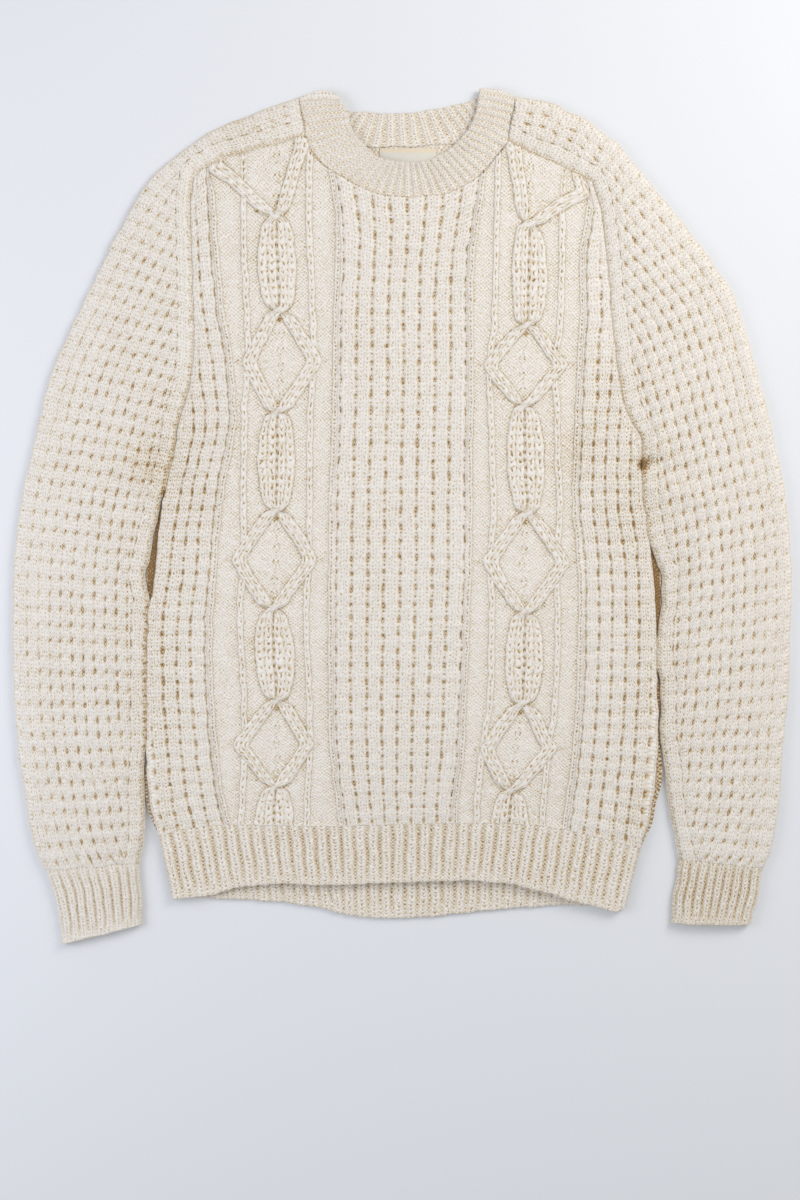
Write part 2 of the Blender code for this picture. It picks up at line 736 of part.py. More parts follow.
def build_slab(name, upper, lower, color):
    """A closed slab between two grids of points with the same rows and columns."""
    rows, width = len(upper), len(upper[0])
    points = [point for grid in (upper, lower) for row in grid for point in row]
    size = rows * width
    faces = []
    for row in range(rows - 1):
        for number in range(width - 1):
            corner = row * width + number
            quad = (corner, corner + 1, corner + width + 1, corner + width)
            faces.append(quad)
            faces.append(tuple(size + index for index in reversed(quad)))
    rim = list(range(width))
    rim += [row * width + width - 1 for row in range(1, rows)]
    rim += [(rows - 1) * width + number for number in range(width - 2, -1, -1)]
    rim += [row * width for row in range(rows - 2, 0, -1)]
    for start, end in zip(rim, rim[1:] + rim[:1]):
        faces.append((start, size + start, size + end, end))
    make_object(name, points, faces, color)


def hem_grid(edge, rows, height):
    """Rows of points from the hem seam down to the free edge, two for each rib."""
    grid = []
    for drop in rows:
        line = []
        for number, share in enumerate(shares(2 * HEM_RIBS)):
            top_x = HEM_LINE[0][0] + share * (HEM_LINE[-1][0] - HEM_LINE[0][0])
            low_x = edge[0][0] + share * (edge[-1][0] - edge[0][0])
            top_y, low_y = value(HEM_LINE, top_x) - SEAM, value(edge, low_x)
            x, y = top_x + drop * (low_x - top_x), top_y + drop * (low_y - top_y)
            line.append((x, y, height(number, 2 * share - 1, drop)))
        grid.append(line)
    return grid


def build_front_hem():
    def low(number, across, drop):
        arch = HEM_ARCH * (1 - across**4) * drop
        return UPPER + LOFT * (1 - across**4) * (1 - drop) + arch

    def high(number, across, drop):
        if abs(across) == 1:
            return UPPER + EDGE_WALL
        rib = HEM_CREST if number % 2 else HEM_VALLEY
        return low(number, across, drop) + WALL + rib

    rows = (0.0, 0.5, 1.0)
    build_slab(
        "front_hem_rib",
        hem_grid(FRONT_HEM_EDGE, rows, high),
        hem_grid(FRONT_HEM_EDGE, rows, low),
        RIB_CREAM,
    )


def build_back_hem():
    def high(number, across, drop):
        rib = HEM_CREST if number % 2 else 0.0
        return WALL + rib * (1 - across**4) * drop - (0.3 if drop == 1 else 0.0)

    def low(number, across, drop):
        return 0.0 if 0 < drop < 1 and abs(across) < 1 else 0.6

    rows = (0.0, 0.08, 0.94, 1.0)
    build_slab(
        "back_hem_rib",
        hem_grid(BACK_HEM_EDGE, rows, high),
        hem_grid(BACK_HEM_EDGE, rows, low),
        RIB_CREAM,
    )


# Neckband


def neck_section(row, tilt, crest):
    """Six points of the band across its wall: tilt 90 faces up in front, -90 down behind."""
    seam_x, seam_y, edge_x, edge_y = row
    run_x, run_y = edge_x - seam_x, edge_y - seam_y
    length = math.hypot(run_x, run_y)
    seam_x += run_x / length * NECK_SEAM
    seam_y += run_y / length * NECK_SEAM
    bow = (LEFT_BOW if seam_x < 0 else RIGHT_BOW) * math.cos(math.radians(tilt)) ** 2
    places = (
        (seam_x, seam_y),
        ((seam_x + edge_x) / 2, (seam_y + edge_y) / 2 + bow),
        (edge_x, edge_y),
    )
    out, up = math.cos(math.radians(tilt)), math.sin(math.radians(tilt))
    ahead = (1 + up) / 2
    outer, inner = [], []
    for (x, y), (front_out, front_in, back_in, back_out) in zip(places, NECK_RADII):
        radius = ahead * front_out + (1 - ahead) * back_out + crest * NECK_RISE * ahead
        outer.append((x, y + radius * out, FOLD_HEIGHT + radius * up))
        radius = ahead * front_in + (1 - ahead) * (back_in - 0.4 * max(crest, 0))
        inner.append((x, y + radius * out, FOLD_HEIGHT + radius * up))
    return outer + inner[::-1]


def neck_rows(rows, ribs):
    """Rows of the band at half the rib pitch along its middle."""
    middles = [((a + c) / 2, (b + d) / 2) for a, b, c, d in rows]
    keyed = [(share, *row) for (share, *_), row in zip(path(middles), rows)]
    return [along(keyed, share) for share in shares(2 * ribs)]


def build_neckband():
    front = neck_rows(NECKBAND_FRONT, FRONT_NECK_RIBS)
    back = neck_rows(NECKBAND_BACK, BACK_NECK_RIBS)
    stations = [(row, 90) for row in front]
    stations += [(NECKBAND_BACK[0], tilt) for tilt in FOLD_TILTS]
    stations += [(row, -90) for row in back]
    stations += [(NECKBAND_FRONT[0], tilt) for tilt in FOLD_TILTS[::-1]]
    points, faces = [], []
    for number, (row, tilt) in enumerate(stations):
        points += neck_section(row, tilt, 1 if number % 2 else -1)
    count = 6
    for ring in range(len(stations)):
        after_ring = (ring + 1) % len(stations)
        for number in range(count):
            after = (number + 1) % count
            faces.append(
                (ring * count + number, ring * count + after, after_ring * count + after,
                 after_ring * count + number)
            )
    make_object("neckband", points, faces, RIB_CREAM)


def build_label():
    low = WALL + 0.3
    grid = []
    for y in (LABEL["top"], LABEL["bottom"]):
        grid.append([(x, y) for x in (LABEL["left"], LABEL["right"])])
    upper = [[(x, y, low + LABEL["thick"]) for x, y in row] for row in grid]
    lower = [[(x, y, low) for x, y in row] for row in grid]
    build_slab("neck_label", upper, lower, SATIN)


def main():
    for obj in list(bpy.data.objects):
        bpy.data.objects.remove(obj, do_unlink=True)
    build_back()
    build_front()
    build_sleeve("left_sleeve", LEFT_SLEEVE, LEFT_SHOULDER, LEFT_EDGE, -1)
    build_sleeve("right_sleeve", RIGHT_SLEEVE, RIGHT_SHOULDER, RIGHT_EDGE, 1)
    build_neckband()
    build_front_hem()
    build_back_hem()
    build_cuff("left_cuff", LEFT_CUFF)
    build_cuff("right_cuff", RIGHT_CUFF)
    build_label()


main()
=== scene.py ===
# %% [markdown]
# # A cable knit pullover, laid flat
#
# The frame is a rigid model of a cream pullover: front, back, two sleeves with saddle shoulders,
# a ribbed neckband, hem and cuffs, and a small label. In this lesson each of its plain solids is
# replaced by knitted cloth. All the pieces are thin shells. Their outer face is a fine grid of
# points, raised by the pattern, and their inner face is a plain grid with few rows.

# %% Load the frame
import math
from collections import namedtuple

import bpy
import numpy as np
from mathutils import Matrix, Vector


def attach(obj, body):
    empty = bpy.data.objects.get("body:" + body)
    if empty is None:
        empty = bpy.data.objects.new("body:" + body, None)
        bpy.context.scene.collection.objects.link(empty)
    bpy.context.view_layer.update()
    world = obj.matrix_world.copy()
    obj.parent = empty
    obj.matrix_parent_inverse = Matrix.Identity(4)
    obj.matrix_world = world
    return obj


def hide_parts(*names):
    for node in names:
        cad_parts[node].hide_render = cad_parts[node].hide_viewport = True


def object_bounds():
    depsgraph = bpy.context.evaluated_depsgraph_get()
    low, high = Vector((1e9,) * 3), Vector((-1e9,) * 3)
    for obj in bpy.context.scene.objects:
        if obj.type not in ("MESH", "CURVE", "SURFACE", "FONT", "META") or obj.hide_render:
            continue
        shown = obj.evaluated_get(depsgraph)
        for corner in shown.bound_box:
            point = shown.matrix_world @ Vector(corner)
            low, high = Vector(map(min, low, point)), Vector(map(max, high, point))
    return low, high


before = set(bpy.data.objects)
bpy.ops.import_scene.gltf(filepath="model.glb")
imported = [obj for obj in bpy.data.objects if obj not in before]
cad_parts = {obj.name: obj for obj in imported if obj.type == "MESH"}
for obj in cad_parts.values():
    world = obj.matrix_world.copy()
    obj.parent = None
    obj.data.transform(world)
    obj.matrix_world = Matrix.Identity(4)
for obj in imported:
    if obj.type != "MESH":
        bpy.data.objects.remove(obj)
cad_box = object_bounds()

bpy.ops.object.select_all(action="DESELECT")
MM = 0.001
print("nodes to dress:", sorted(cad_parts))

# %% [markdown]
# ## The garment's sizes
#
# The model has no measuring tape in it, so the sizes that shaped its solids are written down again
# here, in millimetres. A level is a height on the cloth before the hem and the shoulders bend it:
# knitters count rows in the same way, before the piece is sewn and pulled into shape.

# %% Cloth and knitting sizes
WALL = 3.0  # thickness of the cloth between its ribs
SEAM, NECK_SEAM, LAYER = 0.06, 0.1, 0.5  # clearances between pieces and between layers
UPPER = WALL + LAYER  # underside of the upper layer
MIDDLE = UPPER - LAYER / 2  # height at which front and back meet at a fold
LOFT, HEM_ARCH = 2.4, 3.3  # how far the upper layer and the front hem's edge stand off
STRAND_RISE, GROOVE_RISE = 2.7, 1.3  # a cable's knit columns, and the groove between them
KNOT_HALF, BAND, SLIT_HALF = 8.0, 13.0, 0.9
LINE_OFFSET, LINE_HALF, LINE_RISE = 29.5, 2.9, 1.8
BORDER, BORDER_RISE = 6.4, 1.7
CENTRE_WALES, SLEEVE_WALE = 8, 10.0
LEFT_SIDE_WALES, RIGHT_SIDE_WALES = 4, 5
HEM_RIBS, HEM_CREST, HEM_VALLEY = 37, 1.3, -0.8
CUFF_RIBS, NECK_RISE, FRONT_NECK_RIBS, BACK_NECK_RIBS = 9, 0.9, 36, 18
FOOT, HEM_BEND, YOKE_BEND, HEAD = -285.0, -200.0, 190.0, 300.0
PIT = 40.0
PURL_COLUMN = 3.6  # one purl stitch across
STITCHES = 4  # rows of stitches from one row of holes to the next
STITCH_RISE, STITCH_SLANT = 0.32, 0.8
SLEEVE_REPEAT = 14.0  # from one row of holes to the next on a sleeve

# %% The body's outline
LEFT_EDGE = (  # level, x
    (FOOT, -219.5), (-263, -225), (-243, -228.5), (-206, -229.5), (-162, -229.7), (-115, -229.2),
    (-83, -228), (-60, -222.7), (-13, -218.7), (7, -216), (PIT, -209), (60, -204), (86, -200),
    (115, -191.7), (138, -188.5), (165, -187.5), (223, -189), (265, -190.5), (284, -190), (HEAD, -187),
)
RIGHT_EDGE = (  # level, x
    (FOOT, 214.5), (-263, 222.5), (-242, 227), (-206, 230.5), (-154, 229.5), (-115, 229.2),
    (-60, 226.8), (-13, 221.2), (14, 216.9), (PIT, 216.2), (68, 215), (84, 206.5), (99, 200.5),
    (145, 192.6), (194, 187.2), (235, 183.6), (275, 179), (HEAD, 171),
)
HEM_LINE = (  # x, y
    (-219.5, -288.5), (-195, -282), (-161, -278), (-118, -278.6), (-50, -278.6), (44, -276.8),
    (89, -276.5), (142, -281), (174, -289), (214.5, -299),
)
LEFT_SHOULDER = ((-187, 304), (-178, 312.5), (-157, 322.5), (-121, 332), (-87, 341.5))  # x, y
NECKLINE = (  # x, y
    (-87, 341.5), (-80.5, 326), (-67, 312), (-45, 299), (-22, 289), (5, 286), (41, 289.5),
    (67.5, 303), (87, 325), (96, 337),
)
RIGHT_SHOULDER = ((96, 337), (114, 326), (132, 319.5), (156, 307.5), (171, 300))
BACK_NECKLINE = (  # x, y
    (-87, 341.5), (-80, 337), (-60, 333), (0, 332), (52, 335), (85, 336.5), (96, 337),
)
LEFT_WALE = (  # level, width of a wale beside the cable
    (FOOT, 13.6), (-206, 13.0), (-92, 12.6), (41, 10.7), (86, 10.6), (120, 11.6), (165, 12.2),
    (HEAD, 12.2),
)
RIGHT_WALE = (  # level, width of a wale beside the cable
    (FOOT, 12.6), (-100, 12.1), (-13, 11.8), (67, 11.0), (140, 12.4), (HEAD, 12.4),
)
LEFT_GAPS = (  # y, gap between body and sleeve under the arm
    (FOOT, 16), (-256, 7.2), (-240, 4), (-222, 1.5), (-211, 0), (-77, 0), (-67, 5.4), (-52.6, 9.9),
    (-40, 7.0), (-29, 5.6), (-6, 2.7), (16, 0.6), (26, 0), (PIT, 0),
)
RIGHT_GAPS = (  # y, gap between body and sleeve under the arm
    (FOOT, 22), (-245, 10.5), (-232, 7.6), (-219, 5), (-200, 1.8), (-185, 1.5), (-166, 3), (-146, 2.5),
    (-138, 0), (-112, 0), (-97, 2.4), (-82, 5.3), (-66, 6.7), (-55, 8), (-40, 4), (-28, 0.3), (-24, 0),
    (PIT, 0),
)
WAFFLE_ROWS = (  # level, rows of holes counted down from the bust
    (FOOT, 18.3), (-267.8, 17), (-203.9, 12), (-121, 6), (-37.4, 0), (152.6, -13), (212.9, -17),
    (288.5, -22), (HEAD, -22.7),
)

# %% The two cables
Motif = namedtuple("Motif", "top bottom kind reach_left reach_right")
Cable = namedtuple("Cable", "outside middle left_border right_border motifs")
LEFT_CABLE = Cable(
    outside=-1,
    middle=(  # level, x
        (FOOT, -115), (-247, -113.5), (-206, -111.8), (-166, -112.5), (-84, -116), (-40, -113),
        (5, -112.9), (93, -112), (138, -109), (184, -110), (250, -113), (HEAD, -112),
    ),
    left_border=(  # level, x
        (FOOT, -160), (-256, -166.5), (-206, -172.5), (-140, -176.8), (-92, -176.7), (-50, -172.7),
        (-12, -170.5), (30, -165), (80, -155.5), (107, -156), (148, -160), (185, -166.5),
        (240, -172), (HEAD, -176),
    ),
    right_border=(  # level, x
        (FOOT, -50), (-267, -52), (-227, -57.3), (-175, -59.8), (0, -59), (94, -56), (185, -54.8),
        (240, -52.5), (270, -54), (HEAD, -60),
    ),
    motifs=(
        Motif(348, 250, "diamond", 66, 30),
        Motif(250, 184, "rope", 18, 16.5),
        Motif(184, 93, "diamond", 36, 38),
        Motif(93, 5, "rope", 16.5, 16.5),
        Motif(5, -84, "diamond", 42, 38),
        Motif(-84, -166, "rope", 17.5, 17.5),
        Motif(-166, -247, "diamond", 41, 34),
        Motif(-247, -330, "rope", 18, 17),
    ),
)
RIGHT_CABLE = Cable(
    outside=1,
    middle=(  # level, x
        (FOOT, 96.5), (-252, 98), (-206, 102.5), (-169, 108), (-87, 110.3), (-43, 108.6), (2, 112),
        (50, 110.5), (99, 109.5), (135, 107.5), (171, 112.5), (248, 114.5), (HEAD, 116),
    ),
    left_border=(  # level, x
        (FOOT, 43), (-260, 44), (-222, 48.6), (-175, 51), (-88, 54.4), (-43, 56), (60, 56.5),
        (135, 57.9), (200, 57.3), (242, 59.7), (258, 62.3), (HEAD, 69.5),
    ),
    right_border=(  # level, x
        (FOOT, 150.5), (-273, 152), (-206, 160.2), (-140, 163.8), (-70, 165), (-30, 163.3),
        (10, 159.5), (60, 161), (104, 163), (150, 164.2), (180, 166.6), (233, 166), (258, 170),
        (275, 172.3), (290, 169), (HEAD, 165.5),
    ),
    motifs=(
        Motif(352, 248, "diamond", 23, 70),
        Motif(248, 171, "rope", 15, 16.5),
        Motif(171, 99, "diamond", 36, 43),
        Motif(99, 2, "rope", 16, 17),
        Motif(2, -87, "diamond", 37, 44),
        Motif(-87, -169, "rope", 17, 17),
        Motif(-169, -252, "diamond", 33, 38),
        Motif(-252, -335, "rope", 17, 17),
    ),
)

# %% Sleeves, cuffs and hem
Sleeve = namedtuple("Sleeve", "saddle_fold cap_fold arm_fold arm_seam")
LEFT_SLEEVE = Sleeve(  # x, y
    saddle_fold=((-93, 377), (-111.5, 371), (-142, 359), (-167, 348.5), (-182, 340), (-205, 323)),
    cap_fold=(
        (-205, 323), (-227, 303), (-257, 254), (-274.5, 219), (-288, 190), (-302, 162),
        (-315, 131), (-327, 86), (-333, 58),
    ),
    arm_fold=(
        (-333, 58), (-341, 27), (-346.5, -10), (-350.4, -49), (-351.2, -106), (-349.5, -162),
        (-346.5, -202), (-341, -243), (-333, -291), (-323.5, -320),
    ),
    arm_seam=(
        (-210.5, 38), (-219.5, -1), (-229.5, -39), (-233, -56), (-229, -80), (-229.9, -115),
        (-231.3, -206), (-231.8, -243), (-231.3, -281), (-235, -312),
    ),
)
RIGHT_SLEEVE = Sleeve(  # x, y
    saddle_fold=((103, 378.5), (110, 376.5), (137, 371.5), (149, 364.5), (168, 355), (193, 336)),
    cap_fold=(
        (193, 336), (210.5, 316), (228, 294), (256.5, 259), (296, 203), (317, 141), (326, 106),
        (332.5, 82),
    ),
    arm_fold=(
        (332.5, 82), (345.6, 18), (350.5, -34), (351.2, -68), (349.5, -120), (347.5, -165),
        (344, -200), (339.5, -262), (333, -299), (328, -317),
    ),
    arm_seam=(
        (217.3, 39), (218, 14), (222.5, -13), (230, -40), (234, -60), (231.8, -90), (229.9, -115),
        (232.4, -160), (235, -206), (236.5, -225), (240, -262), (246, -292), (248.5, -309),
    ),
)
Cuff = namedtuple("Cuff", "fold seam")
LEFT_CUFF = Cuff(
    fold=((-320.4, -320.4), (-312, -345), (-306.5, -384.9)),
    seam=((-236.5, -312.8), (-234, -340), (-233, -367)),
)
RIGHT_CUFF = Cuff(
    fold=((324.9, -317.3), (320, -347), (313.5, -367.5)),
    seam=((250, -309.8), (243.5, -344), (242, -366.5)),
)
FRONT_HEM_EDGE = (  # x, y
    (-207, -344), (-171, -340), (-151, -334), (-108, -330), (-69, -331), (9, -328.5), (61, -327),
    (100, -331), (131, -338.5), (153, -345), (174, -351), (192, -355), (201.5, -352),
)
BACK_HEM_EDGE = (  # x, y
    (-206, -342), (-171, -344), (-128, -346), (-89, -350), (-40, -360), (-11, -362), (29, -360.5),
    (67.5, -356), (110, -352), (153, -350), (180, -351), (200, -350),
)

# %% Neckband, folds and label
NECKBAND_FRONT = (  # seam_x, seam_y, edge_x, edge_y
    (-92.4, 373, -57, 374), (-89.6, 357, -50, 362), (-87, 341.5, -46.5, 350), (-80.5, 326, -42, 340),
    (-67, 312, -34, 332.5), (-45, 299, -22.5, 322.5), (-22, 289, -9, 318), (5, 286, 5, 316.4),
    (41, 289.5, 24, 318.5), (67.5, 303, 42, 328.5), (87, 325, 57, 341.5), (96, 337, 63, 350),
    (99.4, 357, 69, 365), (102.3, 374.5, 71, 380),
)
NECKBAND_BACK = (  # seam_x, seam_y, edge_x, edge_y
    (102.3, 374.5, 71, 380), (99.6, 358, 67, 376), (96, 341, 60, 373), (82, 337, 50, 370),
    (52, 335, 34, 367), (20, 333, 12, 362.8), (-14, 332, -12, 361.4), (-50, 332.6, -33, 362.6),
    (-77, 336.5, -46, 363.6), (-87, 345, -51, 366), (-89.8, 358, -54, 369.5), (-92.4, 373, -57, 374),
)
LEFT_BOW, RIGHT_BOW = 5.5, 1.8  # how far the band stands out past its edges at its two folds
FOLD_HEIGHT = UPPER - 0.1  # height that the band turns round at its shoulder folds
NECK_RADII = (  # share of the way to the free edge, outer front, inner front, inner back, outer back
    (0.0, 3.5, 0.35, 0.4, FOLD_HEIGHT),
    (0.5, 5.3, 1.3, 0.4, FOLD_HEIGHT),
    (1.0, 5.3, 1.9, 0.4, FOLD_HEIGHT),
)
CREASES = (  # soft folds of the upper layer: from_x, from_y, to_x, to_y, half_width, height
    (-214, 30, -238, 78, 9, -1.7),
    (-226, 22, -262, 66, 11, 1.5),
    (-196, 70, -172, 20, 12, 1.2),
    (-300, 60, -262, -40, 16, 0.9),
    (228, 62, 237, 106, 9, 2.1),
    (216, 47, 223, 47, 4.5, -2.6),
    (221, 46, 252, 40, 8, -1.5),
    (228, 26, 272, 14, 11, 1.4),
    (200, 66, 176, 10, 12, 1.1),
    (300, 70, 268, -50, 16, 0.9),
)
SHADE_SPOTS = (  # painted shade where folds, hollows and the thicker body shade the cloth: x, y, radius, share
    (216.5, 46.5, 4.6, 1.3), (223, 50, 4.5, 0.45), (219, 39, 4.0, 0.35), (-214, 20, 3.5, 0.5),
    (-216, 8, 3.0, 0.35), (-229, 46, 20, 0.36), (-178, 14, 22, 0.1), (162, 60, 28, 0.18),
    (190, -5, 28, 0.12), (-146, 355, 34, 0.14), (128, 352, 32, 0.12), (-125, 68, 22, 0.1),
    (232, -270, 26, 0.14),
)
SLOPE_SHADE = (  # level, painted shade on the front where it slopes down to its side
    (-300, 0.16), (-230, 0.15), (0, 0.18), (60, 0.18), (110, 0.12), (160, 0.0),
)
SLOPE_WIDTH = 27.0
BACK_SHADE = (  # level, painted shade on the back where it shows in the gap under the arm
    (-260, 0.3), (-200, 0.6), (-100, 1), (-60, 1), (PIT - 10, 1), (PIT, 0),
)
SEAM_SHADE_LEFT = ((20, 1.0), (70, 0.6))  # level, strength of the painted shade in the front's left seam
SEAM_SHADE_RIGHT = ((90, 0.3), (115, 1.2), (185, 1.2), (205, 0.5))  # and in its right one
SEAM_SHADE_SLEEVE = ((-280, 0.1), (-220, 0.3), (-100, 0.3), (20, 0.05), (90, -0.08))  # level, painted shade added along the left sleeve's seam
LABEL = {"left": -20, "right": 31, "bottom": 305, "top": 331, "thick": 0.6, "fold": 327.2}

# %% [markdown]
# ## Curves through the tables
#
# A table's rows are only the points that matter. Everything between them comes from one smooth
# curve, so that any number of knitted rows can be drawn from a dozen sizes. numpy works out a
# whole column of rows in one call, which is why the fine meshes below take seconds.


# %% Curves
def along(rows, keys):
    """The other columns of a table at keys between its rows, on a smooth curve through them."""
    table = np.array(rows, float)
    keys = np.asarray(keys, float)
    last = len(table) - 1
    i = np.clip(np.searchsorted(table[:, 0], keys) - 1, 0, last - 1)
    start, end = table[i], table[i + 1]
    before, after = table[np.maximum(i - 1, 0)], table[np.minimum(i + 2, last)]
    span = end[..., :1] - start[..., :1]
    t = np.clip((keys[..., None] - start[..., :1]) / span, 0, 1)
    leave = (end - before) / (end[..., :1] - before[..., :1]) * span
    arrive = (after - start) / (after[..., :1] - start[..., :1]) * span
    rise = end - start
    bend = (leave + arrive - 2 * rise) * t + 3 * rise - 2 * leave - arrive
    return (start + t * (leave + t * bend))[..., 1:]


def value(rows, keys):
    return along(rows, keys)[..., 0]


def straight(rows, keys):
    """The second column of a table at keys between its rows, on straight lines through them."""
    return np.interp(keys, *np.array(rows).T)


def run_of(points):
    """Distance along a line of points, from its start to each of them."""
    steps = np.hypot(*np.diff(np.array(points, float), axis=0).T)
    return np.concatenate([[0], np.cumsum(steps)])


def path(points):
    """A table of the curve through points, keyed by the share of its length."""
    run = run_of(points)
    return np.column_stack([run / run[-1], points])


def bell(distance, width):
    """1 where the distance is 0, falling away softly over the width."""
    return np.exp(-((distance / width) ** 2))


# %% Where the cloth lies
def top_line(x, neckline):
    """Upper outline of the body: the two shoulder seams with a neckline between them."""
    left, right = straight(LEFT_SHOULDER, x), straight(RIGHT_SHOULDER, x)
    middle = value(neckline, x)
    return np.where(x <= neckline[0][0], left, np.where(x >= neckline[-1][0], right, middle))


def cloth_y(x, level, neckline=NECKLINE):
    """Where a level lies on the garment at x, once the hem and the shoulders have bent it."""
    down = np.clip((HEM_BEND - level) / (HEM_BEND - FOOT), 0, 1)
    up = np.clip((level - YOKE_BEND) / (HEAD - YOKE_BEND), 0, 1)
    return level + down * (value(HEM_LINE, x) - FOOT) + up * (top_line(x, neckline) - HEAD)


def body_loft(x, level):
    left, right = value(LEFT_EDGE, level), value(RIGHT_EDGE, level)
    across = np.clip((2 * x - left - right) / (right - left), -1, 1)
    return LOFT * (1 - across**4)


def crease(x, y):
    """Height of the soft folds at points of the upper layer."""
    height = np.zeros_like(x)
    for from_x, from_y, to_x, to_y, half_width, rise in CREASES:
        run_x, run_y = to_x - from_x, to_y - from_y
        reach = ((x - from_x) * run_x + (y - from_y) * run_y) / (run_x**2 + run_y**2)
        reach = np.clip(reach, 0, 1)
        distance = np.hypot(x - from_x - reach * run_x, y - from_y - reach * run_y)
        height = height + rise * bell(distance, half_width)
    return height


def dimple(x, y, at_x, at_y, radius):
    """1 at one spot, falling away softly round it."""
    return np.exp(-(((x - at_x) ** 2 + (y - at_y) ** 2) / radius**2))


def painted_shade(x, y):
    """How much painted shade darkens the cloth in its folds and where it slopes into the gaps under the
    arms.
    """
    away = np.minimum(np.abs(x - value(LEFT_EDGE, y)), np.abs(x - value(RIGHT_EDGE, y)))
    much = straight(SLOPE_SHADE, y)
    shade = sum(share * dimple(x, y, at_x, at_y, radius) for at_x, at_y, radius, share in SHADE_SPOTS)
    return shade + much * bell(away, SLOPE_WIDTH)


print("half chest:", value(RIGHT_EDGE, -100) - value(LEFT_EDGE, -100), "mm")

# %% [markdown]
# ## One helper for nodes, one for colours
#
# Colours are picked as sRGB hex values, as on any colour chart, and Blender's shaders want them
# linear, so one function turns them. One more adds a node and wires it up.


# %% Colour and node helpers
def linear(hexa):
    """An sRGB hex colour as the linear values that shaders take."""
    shares = [int(hexa[i : i + 2], 16) / 255 for i in (1, 3, 5)]
    return (*[s / 12.92 if s <= 0.04045 else ((s + 0.055) / 1.055) ** 2.4 for s in shares], 1.0)


def wire(tree, node, inputs):
    """Gives a node its inputs: values, sockets, or nodes whose first output feeds them."""
    for key, given in dict(inputs).items():
        if isinstance(given, bpy.types.Node):
            given = given.outputs[0]
        if isinstance(given, bpy.types.NodeSocket):
            tree.links.new(given, node.inputs[key])
        else:
            node.inputs[key].default_value = given
    return node


def add(tree, kind, inputs=(), **settings):
    """One node with its settings and its inputs."""
    node = tree.nodes.new(kind)
    for name, setting in settings.items():
        setattr(node, name, setting)
    return wire(tree, node, inputs)


def set_ramp(node, stops):
    """Fills a colour ramp from (position, hex colour) pairs."""
    ramp = node.color_ramp
    while len(ramp.elements) < len(stops):
        ramp.elements.new(1.0)
    for element, (position, hexa) in zip(ramp.elements, stops):
        element.position = position
        element.color = linear(hexa)
    return node


def new_material(name):
    """A material, its node tree and its shader."""
    material = bpy.data.materials.new(name)
    material.use_nodes = True
    return material, material.node_tree, material.node_tree.nodes["Principled BSDF"]


# %% [markdown]
# ## Wool yarn, knitted
#
# The cloth is undyed cream wool, spun thick and soft. Wool scatters light, so it has no gloss, a
# roughness near 0.9 and a faint sheen from its fuzz. Light that sinks between the stitches comes
# back warmer, and this is painted shade: recesses are painted tan and crests cream, and the
# attribute "depth" says where a point is between the two. Painted shade of folds, seams and gaps is
# taken off it as well. The attribute "knit" counts knit columns across and rows along, so the small
# V of each stitch follows the cloth wherever it bends, with a dark dot where its two legs part.
# Purl ground shows its little bars instead, two to a stitch and staggered. A stitch row is about
# 3.6 mm high and a column 5 mm wide.

# %% Wool material
SWAY_SCALE, CLUMP_SCALE, CLOUD_SCALE = 240.0, 620.0, 30.0  # noise: 4 mm, 1.6 mm and 33 mm apart
# painted shade runs from brown in the deepest holes and the gaps under the arms, through tan, to cream
WOOL_STOPS = (
    (0.0, "#94734A"), (0.1, "#B8996C"), (0.2, "#CDB58D"), (0.33, "#DBCAAC"), (0.47, "#E7DCCA"),
    (0.62, "#F0E8DD"), (0.82, "#F9F3EC"),
)


